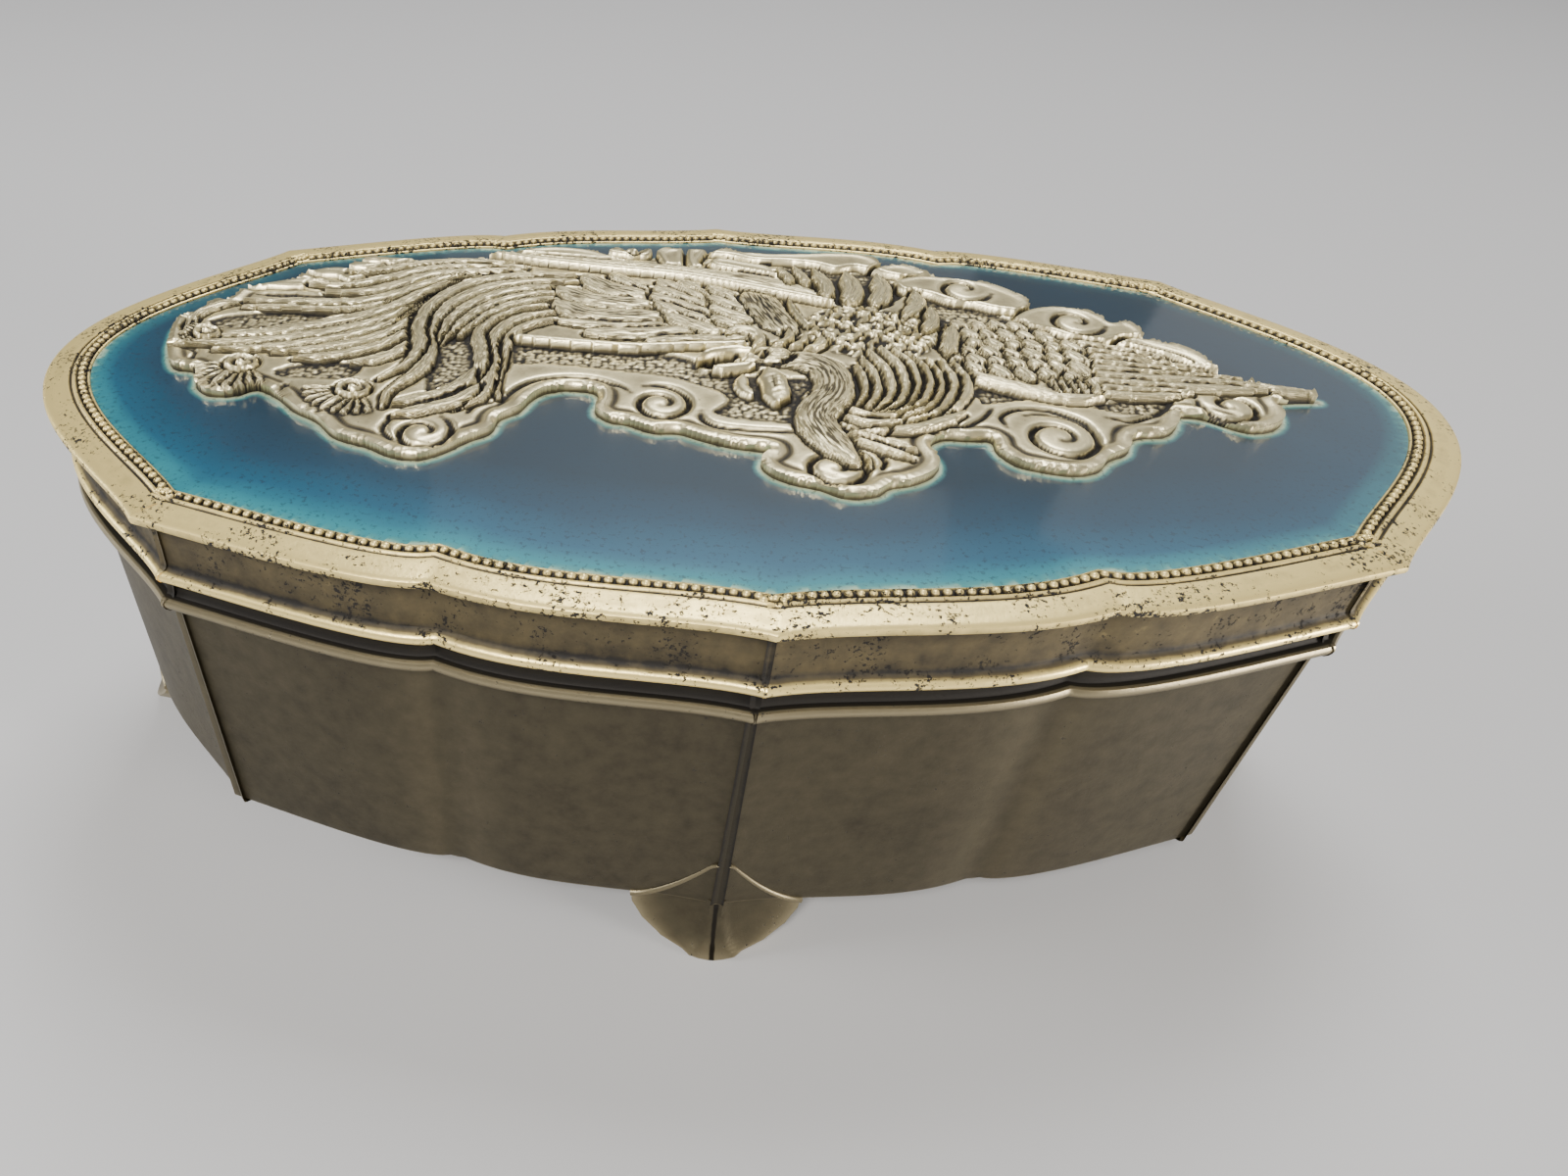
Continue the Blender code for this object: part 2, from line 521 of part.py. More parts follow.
def build_relief(material):
    """The relief as one closed solid: its drawn edge, a rolling top and a flat underside."""
    edge = smooth_line(RELIEF_EDGE + RELIEF_EDGE[:1], 1.6)[:-1]
    low, high = edge.min(0), edge.max(0)
    pitch = relief_pitch / MM
    inner = []
    rows = int((high[1] - low[1]) / (pitch * 0.87))
    for j in range(rows):
        y = low[1] + (j + 0.5) * pitch * 0.87
        xs = np.arange(low[0] + (j % 2) * pitch / 2, high[0], pitch)
        inner.append(np.stack([xs, np.full_like(xs, y)], 1))
    inner = np.vstack(inner)
    closed = np.vstack([edge, edge[:1]])
    d, _ = distance_to_line(inner[:, 0], inner[:, 1], closed)
    inner = inner[(d > 0.6 * pitch) & inside_edge(inner, edge)]
    points = np.vstack([edge, inner])
    rim = len(edge)
    loops = [(i, (i + 1) % rim) for i in range(rim)]
    verts, _, faces, *_ = delaunay_2d_cdt([Vector(p) for p in points], loops, [list(range(rim))], 1, 1e-5)
    plan = np.array([(v.x, v.y) for v in verts])
    rise = relief_rise(plan[:, 0], plan[:, 1])
    d, _ = distance_to_line(plan[:, 0], plan[:, 1], closed)
    height = np.where(d < 0.3, relief_edge / MM, relief_base / MM + rise)
    plan[:, 1] -= relief_lean * swell_at(plan[:, 0], plan[:, 1]) * np.clip(d / 5, 0, 1)
    bm = bmesh.new()
    top = [bm.verts.new((x * MM + relief_x, y * MM + relief_y, field_z + h * MM))
           for (x, y), h in zip(plan, height)]
    for f in faces:
        bm.faces.new([top[i] for i in f])
    border = [e for e in bm.edges if e.is_boundary]
    made = bmesh.ops.extrude_edge_only(bm, edges=border)["geom"]
    skirt = [v for v in made if isinstance(v, bmesh.types.BMVert)]
    for v in skirt:
        v.co.z = field_z - relief_embed
    bmesh.ops.holes_fill(bm, edges=[e for e in bm.edges if e.is_boundary])
    bmesh.ops.recalc_face_normals(bm, faces=bm.faces)
    ob = object_from("relief_form", bm, material)
    thin = ob.modifiers.new("Thin", "DECIMATE")
    thin.decimate_type = "COLLAPSE"
    thin.ratio = relief_keep
    return ob


def inside_edge(points, edge):
    x, y = points[:, 0], points[:, 1]
    inside = np.zeros(len(points), bool)
    for (x0, y0), (x1, y1) in zip(edge, np.roll(edge, -1, axis=0)):
        crosses = (y0 > y) != (y1 > y)
        if crosses.any():
            at = x0 + (y - y0) / (y1 - y0 if y1 != y0 else 1e-9) * (x1 - x0)
            inside ^= crosses & (x < at)
    return inside


def main():
    clear_scene()
    body_metal = make_material("aged white metal", WHITE_METAL, 0.55, 0.8)
    lid_metal = make_material("worn white metal", LID_METAL, 0.45, 0.8)
    body = build_body(body_metal)
    front = build_foot("foot_front_form", "y", body_metal)
    back = build_foot("foot_back_form", "y", body_metal)
    back.rotation_euler.z = math.pi
    right = build_foot("foot_right_form", "x", body_metal)
    left = build_foot("foot_left_form", "x", body_metal)
    left.rotation_euler.z = math.pi
    body.location.x = body_play_x
    for number, foot in enumerate((front, back, right, left)):
        foot.location.x = body_play_x
        union(body, foot, f"Foot {number}")
    lid = build_lid(lid_metal)
    relief = build_relief(lid_metal)
    union(lid, relief, "Relief")


main()
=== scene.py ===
# %% [markdown]
# # An enamelled trinket box with a phoenix on its lid
# The real box is two castings of a soft silvery metal: a hollow body on four pointed feet,
# and a lid that lifts off. The lid carries a raised bird among clouds, and blue enamel is
# run round it. Age has worn the high places bright and left dirt in the low ones.
#
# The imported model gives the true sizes. This lesson models finer castings over it, and
# spends most of its work on the relief and on the metal's age.

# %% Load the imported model
import math

import bmesh
import bpy
import numpy as np
from mathutils import Matrix, Vector


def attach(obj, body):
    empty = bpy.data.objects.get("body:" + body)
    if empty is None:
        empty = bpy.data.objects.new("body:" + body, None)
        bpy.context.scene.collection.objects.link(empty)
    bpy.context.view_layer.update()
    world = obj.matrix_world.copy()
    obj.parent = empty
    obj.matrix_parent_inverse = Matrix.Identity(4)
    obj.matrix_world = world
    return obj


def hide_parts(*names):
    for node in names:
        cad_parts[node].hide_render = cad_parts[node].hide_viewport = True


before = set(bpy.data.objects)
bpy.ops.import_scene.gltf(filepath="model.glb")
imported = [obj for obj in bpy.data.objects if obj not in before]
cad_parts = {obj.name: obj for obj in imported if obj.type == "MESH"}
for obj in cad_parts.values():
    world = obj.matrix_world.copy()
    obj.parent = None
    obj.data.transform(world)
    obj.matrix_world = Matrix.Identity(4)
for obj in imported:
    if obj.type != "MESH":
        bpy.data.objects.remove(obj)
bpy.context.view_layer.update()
MM = 0.001

# %% [markdown]
# ## The view
# The photograph was taken close, from a little left of the middle and 40 degrees above, with
# a short lens, and then cropped. A close camera makes the near rim large and the far rim
# small, so the distance matters more than the lens. The crop shows as a sideways shift.

# %% Camera
camera_place = Vector((-17.74, -125.9, 129.9)) * MM
look_down, turn, roll = 0.702, -0.016, 0.029
sensor_width, focal_pixels, picture_width = 36.0, 1093, 1600
crop_right, crop_up = 0.128, -0.003
ahead = Vector((math.sin(turn) * math.cos(look_down), math.cos(turn) * math.cos(look_down),
                -math.sin(look_down)))
level = Vector((math.cos(turn), -math.sin(turn), 0.0))
upward = level.cross(ahead)
right_hand = level * math.cos(roll) + upward * math.sin(roll)
top_hand = upward * math.cos(roll) - level * math.sin(roll)

camera_data = bpy.data.cameras.new("camera")
camera_data.sensor_width = sensor_width
camera_data.lens = sensor_width * focal_pixels / picture_width
camera_data.shift_x, camera_data.shift_y = crop_right, crop_up
camera_data.clip_start, camera_data.clip_end = 0.01, 20.0
camera = bpy.data.objects.new("camera", camera_data)
turned = Matrix((right_hand, top_hand, -ahead)).transposed().to_4x4()
turned.translation = camera_place
camera.matrix_world = turned
bpy.context.scene.collection.objects.link(camera)
bpy.context.scene.camera = camera
print("lens", round(camera_data.lens, 1), "mm, camera at", camera.location[:])

# %% [markdown]
# ## The studio
# A plain pale floor and soft lamps keep attention on the box. The metal only looks like
# metal if it has something bright and something dark to mirror, so two strong lamps hang
# over the front and the back, two more shine on the ends, and the room stays dim. The enamel
# would mirror a strong lamp as a white patch, so behind it are only two wide, faint ones.

# %% Floor and lamps
floor_reach = 3.0
floor_mesh = bmesh.new()
bmesh.ops.create_grid(floor_mesh, x_segments=1, y_segments=1, size=floor_reach)
floor_data = bpy.data.meshes.new("floor")
floor_mesh.to_mesh(floor_data)
floor_mesh.free()
floor = bpy.data.objects.new("floor", floor_data)
bpy.context.scene.collection.objects.link(floor)
floor_look = bpy.data.materials.new("pale floor")
floor_look.use_nodes = True
floor_sockets = floor_look.node_tree.nodes["Principled BSDF"].inputs
floor_sockets["Base Color"].default_value = (0.52, 0.52, 0.53, 1)
floor_sockets["Roughness"].default_value = 0.6
floor_data.materials.append(floor_look)

world = bpy.data.worlds.new("room")
world.use_nodes = True
room_sockets = world.node_tree.nodes["Background"].inputs
room_sockets["Color"].default_value = (1.0, 0.985, 0.955, 1)
room_sockets["Strength"].default_value = 0.10
bpy.context.scene.world = world
lamp_target = Vector((0, 0, 0.04))


def lamp(name, place, size, watts, colour=(1, 1, 1)):
    """A soft square lamp that faces the box."""
    data = bpy.data.lights.new(name, "AREA")
    data.shape, data.size, data.energy, data.color = "SQUARE", size, watts, colour
    ob = bpy.data.objects.new(name, data)
    ob.location = place
    ob.rotation_euler = (lamp_target - ob.location).to_track_quat("-Z", "Y").to_euler()
    bpy.context.scene.collection.objects.link(ob)
    return ob


lamp("lamp over the back", (0.1, 0.5, 1.05), 0.45, 9.0)
lamp("sheen behind", (0.1, 1.1, 0.8), 0.7, 0.4)
lamp("sheen right end", (0.95, 0.85, 0.5), 0.8, 0.9)
lamp("lamp front", (-0.25, -0.62, 0.8), 0.22, 11.0, (1.0, 0.97, 0.92))
lamp("lamp low right", (1.0, -0.5, 0.16), 0.25, 14.0, (1.0, 0.94, 0.86))
lamp("lamp left", (-1.0, 0.0, 0.4), 0.35, 6.0)

# %% [markdown]
# ## The plan
# Seen from above, the rim has six points, four shallow notches and long swelling lobes
# between them. It is the same in all four quarters, so one quarter is drawn with three
# Bezier curves and mirrored. Points are set closer near each corner, which keeps the corner
# crisp when the surface is shaded smooth.

# %% Outline of the rim
half_length, half_width = 90.5, 50.0
corner, notch = (68.3, 35.2), (35.0, 44.0)
lobes = (
    ((0.0, half_width), (9.0, -2.6), (-11.0, 5.0), notch, 26),
    (notch, (6.0, 1.2), (-10.3, 3.4), corner, 22),
    (corner, (5.2, -7.7), (0.0, 16.0), (half_length, 0.0), 32),
)


def shares(count):
    """Even steps from 0 to 1, with an extra one close to each end."""
    even = np.arange(count) / count
    return np.sort(np.concatenate([even, [0.006, 0.994]]))


def bezier(start, first, second, end, count):
    t = shares(count)[:, None]
    a, d = np.array(start, float), np.array(end, float)
    b, c = a + first, d + second
    return (1 - t) ** 3 * a + 3 * (1 - t) ** 2 * t * b + 3 * (1 - t) * t * t * c + t ** 3 * d


quarter = np.vstack([bezier(*lobe) for lobe in lobes] + [[(half_length, 0.0)]])
right_half = np.vstack([quarter, quarter[-2::-1] * (1, -1)])
outline = np.vstack([right_half, (right_half[-2:0:-1]) * (-1, 1)])[::-1]
quarters = [(-1, -1), (-1, 1), (1, -1), (1, 1)]
middles = [(0, half_width), (0, -half_width)]
corners = [(sx * corner[0], sy * corner[1]) for sx, sy in quarters]
notches = [(sx * notch[0], sy * notch[1]) for sx, sy in quarters]


def nearness(places, reach):
    """1 at the listed corners of the outline, falling to 0 at the given reach."""
    gaps = [np.hypot(outline[:, 0] - x, outline[:, 1] - y) for x, y in places]
    return np.clip(1 - np.min(gaps, axis=0) / reach, 0, 1)


at_middle = nearness(middles, 1.0)
at_corner = nearness(corners, 1.0)
at_notch = nearness(notches, 9.0)
print("outline points:", len(outline))

# %% Move the outline inwards
widest_mitre, ease = 0.5, 0.9


def inset(distance, soften=0):
    """The outline moved in by a distance, with its notches eased by some smoothing passes."""
    before = outline - np.roll(outline, 1, axis=0)
    after = np.roll(outline, -1, axis=0) - outline
    before /= np.linalg.norm(before, axis=1)[:, None]
    after /= np.linalg.norm(after, axis=1)[:, None]
    side = np.stack([-before[:, 1] - after[:, 1], before[:, 0] + after[:, 0]], 1)
    side /= np.linalg.norm(side, axis=1)[:, None]
    mitre = side[:, 0] * -after[:, 1] + side[:, 1] * after[:, 0]
    moved = outline + side * (distance / np.maximum(mitre, widest_mitre))[:, None]
    for _ in range(soften):
        even = (np.roll(moved, 1, axis=0) + np.roll(moved, -1, axis=0)) / 2
        moved += (even - moved) * (at_notch ** 0.5)[:, None] * ease
    return moved


print("span at the bead row:", np.ptp(inset(4.9), axis=0).round(1))

# %% [markdown]
# ## Castings from rings
# A moulding that follows an outline can be swept, but a sweep twists at the points. Here one
# circle is bent to the outline and then extruded ring by ring, each ring at its own inset and
# height. Every ring also stores how much hands have rubbed it, from 0 in a groove to 1 on an
# edge, and the metal's material reads that later. Edges are worn more at the points. Walls
# are dark on the middle ridge. Along the corner ridges and beside each valley the stored value
# is raised as a painted highlight, and at each valley's line it is a little lower, as painted shade.

# %% Extrude rings along a profile
is_edge = 0.5
edge_wear = 0.25 * np.maximum(at_middle, at_corner)
# Walls: dark along the middle ridge; a painted highlight along the corner ridges and beside each valley, a
# little lower at the valley's line as painted shade.
wall_wear_and_painted_light = (0.14 * at_corner - 0.3 * at_middle
             - 0.05 * nearness(notches, 2.4) ** 2 + 0.06 * nearness(notches, 8.0))


def finish_mesh(name, bm, sharp=32.0):
    data = bpy.data.meshes.new(name)
    bm.to_mesh(data)
    bm.free()
    data.shade_smooth()
    data.set_sharp_from_angle(angle=math.radians(sharp))
    ob = bpy.data.objects.new(name, data)
    bpy.context.scene.collection.objects.link(ob)
    return ob


def ring_casting(name, profile):
    """Rings of (inset, height, rubbed, softening) joined from the first to the last."""
    bm = bmesh.new()
    spot = bm.verts.layers.int.new("spot")
    rubbed = bm.verts.layers.float.new("rubbed")
    ridge = bm.verts.layers.float.new("ridge")
    bmesh.ops.create_circle(bm, segments=len(outline), radius=1.0)
    bm.verts.ensure_lookup_table()
    for i, v in enumerate(bm.verts):
        v[spot] = i
    ring, edges = list(bm.verts), list(bm.edges)
    first = edges
    for step, (distance, height, rub, soften) in enumerate(profile):
        if step:
            made = bmesh.ops.extrude_edge_only(bm, edges=edges)["geom"]
            ring = [g for g in made if isinstance(g, bmesh.types.BMVert)]
            new = set(ring)
            edges = [g for g in made if isinstance(g, bmesh.types.BMEdge) and set(g.verts) <= new]
        plan = inset(distance, soften)
        for v in ring:
            i = v[spot]
            v.co = (plan[i, 0] * MM, plan[i, 1] * MM, height * MM)
            # Edges take extra wear at the points; walls take their values, painted highlight and shade
            # included.
            v[rubbed] = rub + (edge_wear[i] if rub > is_edge else wall_wear_and_painted_light[i])
            v[ridge] = at_middle[i]
    bmesh.ops.edgeloop_fill(bm, edges=first)
    bmesh.ops.edgeloop_fill(bm, edges=edges)
    bmesh.ops.recalc_face_normals(bm, faces=bm.faces)
    ob = finish_mesh(name, bm)
    print(name, "faces:", len(ob.data.polygons))
    return ob


# %% [markdown]
# ## The body
# The body's wall leans in a little towards the floor, with a sharp ridge under each point of
# the rim and a soft valley under each notch. A rolled lip runs round its top. Behind the lip
# a channel rises to the seat that carries the lid, and a thin upstand keeps the lid in place.
# The real body sits half a millimetre to the left under its lid.

# %% Body casting
foot_height, body_top, seat = 8.5, 47.4, 49.7
wall_low, wall_high, wall_rub = 3.8, 3.0, 0.42
wall_foot, wall_head = foot_height + 0.5, body_top - 2.4
body_shift = -0.5
wall_levels = [
    (wall_low + (wall_high - wall_low) * s, wall_foot + (wall_head - wall_foot) * s, wall_rub, 2)
    for s in (0.0, 0.03, 0.1, 0.25, 0.4, 0.55, 0.7, 0.85, 0.95, 1.0)
]
body_profile = [
    (6.0, foot_height + 0.8, 0.1, 3), (5.6, foot_height + 0.1, 0.2, 3), (5.2, foot_height, 0.4, 4),
    (wall_low + 0.4, foot_height, 0.6, 2), (wall_low + 0.08, foot_height + 0.16, 0.62, 1),
    *wall_levels,
    (2.8, body_top - 2.2, 0.2, 1), (2.3, body_top - 2.0, 0.1, 1), (1.8, body_top - 1.85, 0.3, 1),
    (1.4, body_top - 1.5, 0.55, 0), (1.2, body_top - 1.05, 0.75, 0), (1.22, body_top - 0.65, 0.85, 0),
    (1.45, body_top - 0.3, 0.75, 0), (1.8, body_top - 0.15, 0.4, 0), (2.15, body_top - 0.22, 0.1, 0),
    (2.5, body_top - 0.25, 0.0, 0), (2.7, body_top - 0.05, 0.0, 0), (2.85, body_top + 0.5, 0.1, 0),
    (2.95, seat - 0.7, 0.2, 0), (3.1, seat - 0.15, 0.4, 0), (3.3, seat, 0.3, 0), (5.3, seat, 0.1, 0),
    (5.45, seat + 0.3, 0.1, 0), (5.5, seat + 2.15, 0.4, 0), (5.7, seat + 2.4, 0.6, 0),
    (6.6, seat + 2.4, 0.6, 0), (6.8, seat + 2.15, 0.4, 0), (6.8, 30.0, 0.3, 0), (6.8, 12.1, 0.2, 0),
    (7.2, 11.65, 0.2, 0), (7.9, 11.5, 0.3, 0),
]
body = ring_casting("body_casting", body_profile)
for v in body.data.vertices:
    v.co.x += body_shift * MM
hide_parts("box_body")
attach(body, "root")

# %% [markdown]
# ## The lid
# The lid is a shallow tray turned upside down. From below: a flange that rests on the body,
# a set-back wall, the wide rim that overhangs it, a fine fillet, and the trough where the
# beads sit. The middle is left flat under the enamel.

# %% Lid casting
flange, under_plate, rim_low, rim_high = 50.05, 57.75, 58.7, 60.05
field = 59.95
lid_profile = [
    (5.2, under_plate, 0.2, 0), (4.7, under_plate - 0.15, 0.2, 0), (4.6, under_plate - 0.55, 0.2, 0),
    (4.6, flange + 0.35, 0.3, 0), (4.35, flange, 0.5, 0), (1.6, flange, 0.5, 0),
    (1.2, flange + 0.1, 0.75, 0), (1.0, flange + 0.45, 0.95, 0), (1.02, flange + 0.8, 1.0, 0),
    (1.2, flange + 1.1, 0.95, 0), (1.5, flange + 1.28, 0.6, 0), (1.95, flange + 1.42, 0.2, 1),
    (2.25, flange + 1.75, 0.05, 2), (2.38, flange + 2.3, 0.2, 1), (2.4, flange + 4.3, 0.28, 1),
    (2.4, rim_low - 2.3, 0.28, 1), (2.4, rim_low - 1.0, 0.2, 1), (2.3, rim_low - 0.5, 0.1, 1),
    (1.9, rim_low - 0.2, 0.05, 0), (1.1, rim_low - 0.08, 0.1, 0),
    (0.45, rim_low + 0.08, 0.35, 0), (0.1, rim_low + 0.36, 0.6, 0), (0.0, rim_low + 0.75, 0.7, 0),
    (0.1, rim_high - 0.22, 0.8, 0), (0.32, rim_high - 0.04, 1.0, 0), (0.7, rim_high + 0.06, 1.0, 0),
    (1.6, rim_high + 0.2, 0.82, 0), (2.5, rim_high + 0.33, 0.82, 0), (3.05, rim_high + 0.42, 0.9, 0),
    (3.28, rim_high + 0.4, 0.75, 0), (3.42, rim_high + 0.2, 0.15, 0), (3.56, rim_high + 0.2, 0.1, 0),
    (3.7, rim_high + 0.42, 0.7, 0), (3.9, rim_high + 0.54, 0.85, 0), (4.1, rim_high + 0.48, 0.7, 0),
    (4.24, rim_high + 0.2, 0.2, 0), (4.45, rim_high + 0.05, 0.05, 0), (5.25, rim_high + 0.05, 0.0, 0),
    (5.45, rim_high + 0.12, 0.3, 0), (5.56, rim_high + 0.28, 0.8, 0), (5.7, rim_high + 0.22, 0.8, 0),
    (5.82, field - 0.1, 0.4, 0), (6.2, field - 0.3, 0.2, 0),
]
lid = ring_casting("lid_casting", lid_profile)
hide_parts("box_lid")
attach(lid, "root")

# %% [markdown]
# ## The bead row
# Some 360 little beads sit shoulder to shoulder in the trough. They could be an array on a
# curve, but then the spacing would bunch at the points. Walking round the outline in equal
# steps and dropping one small sphere at each step keeps them even. A bead has only 40 faces.

# %% Beads round the enamel
bead_inset, bead_size, bead_pitch = 4.86, 0.57, 1.26
bead_height = rim_high + 0.18


def even_walk(path, pitch):
    """Points at equal steps round a closed path."""
    closed = np.vstack([path, path[:1]])
    run = np.concatenate([[0], np.cumsum(np.linalg.norm(np.diff(closed, axis=0), axis=1))])
    count = int(round(run[-1] / pitch))
    stops = np.arange(count) * run[-1] / count
    return np.stack([np.interp(stops, run, closed[:, k]) for k in (0, 1)], 1)


bead_mesh = bmesh.new()
bead_rub = bead_mesh.verts.layers.float.new("rubbed")
chance = np.random.default_rng(7)
bead_places = even_walk(inset(bead_inset), bead_pitch)
for x, y in bead_places:
    swell = bead_size * chance.uniform(0.93, 1.05)
    place = Matrix.Translation((x * MM, y * MM, bead_height * MM)) @ Matrix.Scale(swell * MM, 4)
    bmesh.ops.create_uvsphere(bead_mesh, u_segments=8, v_segments=5, radius=1.0, matrix=place)
for v in bead_mesh.verts:
    v[bead_rub] = min(max((v.co.z / MM - rim_high - 0.2) / 0.5, 0.0), 1.0)
beads = finish_mesh("bead_row", bead_mesh, 60)
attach(beads, "root")
print("beads:", len(bead_places))

# %% [markdown]
# ## Drawing the relief
# The relief is one raised field with an outline of cloud edges, and the bird and clouds
# overlap on it like tiles. Sculpting it by hand would be slow and hard to change. Instead it
# is drawn with four tools on a fine grid: punched ground, flat plates for the clouds, strokes
# for feathers, and cuts. Each later mark covers the earlier ones.
#
# All sizes below are in millimetres, seen from above, from the relief's own centre.

# %% Edge of the relief
relief_centre = (-0.15, -1.1)
relief_edge = (
    (-76, 3), (-76.8, 9), (-74.5, 13), (-71.5, 16), (-70.3, 20), (-67, 22), (-64, 23),
    (-62.5, 26), (-59.5, 27.5), (-57, 27.5), (-55, 30.5), (-53, 32.2), (-49, 32),
    (-44, 31.8), (-40, 33.2), (-34, 34), (-31, 36.5), (-26, 37.8), (-21, 37.3), (-18, 36.2),
    (-16, 38.4), (-12.5, 38.3), (-10.5, 36.8), (-8.5, 38.6), (-4, 39), (0, 38.6),
    (3, 37.5), (8, 37.2), (13, 37.7), (17, 38.3), (21, 38.2), (23.8, 36.7), (24.8, 34.4),
    (27.5, 34.8), (31, 32.3), (34.5, 31), (38, 30), (41, 27.5), (43.6, 24.5), (44.5, 22.4),
    (48, 22.2), (51.5, 21.5), (53.3, 19), (56, 18.2), (57.8, 15.5), (57.8, 13), (61, 11.3),
    (63.3, 8.5), (64.4, 5.1), (67.3, 3.4), (73.6, 1.1), (75.4, -0.3), (71.6, -0.8), (68.8, -1.6),
    (68.5, -3.8), (67.4, -6.4), (65, -8.2), (62.2, -8.6), (59.8, -7.2), (57.6, -5.7),
    (55, -5.6), (53.6, -8.2), (51.4, -10.3), (48, -10.9), (46.6, -12), (45.4, -14.4),
    (42.4, -16.4), (40.6, -18.6), (37.4, -19.7), (33.8, -19.1), (31.2, -18), (29.6, -15.4),
    (29.4, -13), (26.6, -13), (23.6, -13), (21.6, -15), (22, -18.2), (20.8, -20.9),
    (18, -22.9), (15.4, -23.7), (13.4, -25.4), (9.9, -25.9), (7.3, -24.5), (4.2, -23.5),
    (1.8, -21.9), (1, -19.6), (2.4, -17.3), (-1.8, -16.5), (-5.4, -15.2), (-8.4, -13.8),
    (-11.5, -13.8), (-14.5, -12.3), (-17, -11.6), (-18.6, -9.6), (-18.2, -7), (-18.8, -5),
    (-22, -4.4), (-25, -5.4), (-26.8, -7.6), (-28, -10.2), (-30.3, -12.4), (-31, -15.2),
    (-33.8, -17.5), (-35.7, -19.5), (-38.6, -21.4), (-42.1, -21.1), (-45.2, -19.3),
    (-49.3, -17.6), (-52.2, -14.3), (-55.4, -12.1), (-58.4, -9), (-61.4, -7.2), (-63.5, -8.6),
    (-66.8, -9), (-69.2, -7), (-70.2, -3.6), (-73.4, -2.6), (-74.9, 0),
)


def smooth_line(points, step=0.5):
    """A Catmull-Rom curve through the points, sampled about every step."""
    pts = np.array(points, float)
    ext = np.vstack([2 * pts[0] - pts[1], pts, 2 * pts[-1] - pts[-2]])
    parts = []
    for p0, p1, p2, p3 in zip(ext, ext[1:], ext[2:], ext[3:]):
        t = np.linspace(0, 1, max(2, int(np.linalg.norm(p2 - p1) / step)), endpoint=False)[:, None]
        parts.append(0.5 * (2 * p1 + (p2 - p0) * t + (2 * p0 - 5 * p1 + 4 * p2 - p3) * t ** 2
                            + (3 * p1 - p0 - 3 * p2 + p3) * t ** 3))
    return np.vstack(parts + [pts[-1:]])


edge_line = smooth_line(relief_edge + relief_edge[:1])
print("relief spans", np.ptp(edge_line, axis=0).round(1), "mm")

# %% Grid of the relief
grid_pitch = 0.285
low = edge_line.min(0) - 1.0
cells = np.ceil((np.ptp(edge_line, axis=0) + 2.0) / grid_pitch).astype(int)
grid_x, grid_y = np.meshgrid(low[0] + np.arange(cells[0] + 1) * grid_pitch,
                             low[1] + np.arange(cells[1] + 1) * grid_pitch)
print("grid points:", grid_x.size)


def window(line, reach):
    """The part of the grid within reach of a line, as a pair of slices."""
    a = np.maximum(np.floor((line.min(0) - reach - low) / grid_pitch).astype(int), 0)
    b = np.maximum(np.ceil((line.max(0) + reach - low) / grid_pitch).astype(int) + 1, 0)
    return slice(a[1], b[1]), slice(a[0], b[0])


def measure(line, x, y):
    """Distance to a line, distance along it, its share, and which side, for points x, y."""
    a, ab = line[:-1], np.diff(line, axis=0)
    long = np.linalg.norm(ab, axis=1)
    run = np.concatenate([[0], np.cumsum(long)])
    best = np.full(x.shape, 1e9)
    along, side = np.zeros(x.shape), np.zeros(x.shape)
    for (ax, ay), (dx, dy), size, start in zip(a, ab, long, run):
        if size == 0:
            continue
        t = np.clip(((x - ax) * dx + (y - ay) * dy) / size ** 2, 0, 1)
        d = np.hypot(x - ax - t * dx, y - ay - t * dy)
        closer = d < best
        best = np.where(closer, d, best)
        along = np.where(closer, start + t * size, along)
        side = np.where(closer, np.sign(dx * (y - ay) - dy * (x - ax)), side)
    return best, along, along / run[-1], side


def inside_line(line, x, y):
    """True where a point lies inside a closed line."""
    inside = np.zeros(x.shape, bool)
    for (x0, y0), (x1, y1) in zip(line, np.roll(line, -1, axis=0)):
        if y0 != y1:
            inside ^= ((y0 > y) != (y1 > y)) & (x < x0 + (y - y0) * (x1 - x0) / (y1 - y0))
    return inside


edge_gap = measure(edge_line, grid_x, grid_y)[0]
within = inside_line(edge_line, grid_x, grid_y)
print("share of the grid inside:", within.mean().round(2))

# %% [markdown]
# ## Ground
# Between the figures the ground is punched with fine dots, which catches dirt and makes the
# smooth clouds stand out. Swells lift the bird's body and wings a little, so light rolls
# over the whole figure and not only over single feathers.

# %% Ground, swells and punched dots
def pebbles(x, y, pitch, seed, reach=0.6):
    """Rounded dots on a jittered net, from 0 between them to 1 on top."""
    gx, gy = (x - x.min()) / pitch, (y - y.min()) / pitch
    ix, iy = gx.astype(int), gy.astype(int)
    jitter = np.random.default_rng(seed).uniform(0.12, 0.88, (iy.max() + 3, ix.max() + 3, 2))
    best = np.full(x.shape, 9.0)
    for dx in (-1, 0, 1):
        for dy in (-1, 0, 1):
            px = ix + dx + jitter[iy + dy + 1, ix + dx + 1, 0]
            py = iy + dy + jitter[iy + dy + 1, ix + dx + 1, 1]
            best = np.minimum(best, np.hypot(gx - px, gy - py))
    return np.sqrt(np.clip(1 - (best / reach) ** 2, 0, 1))


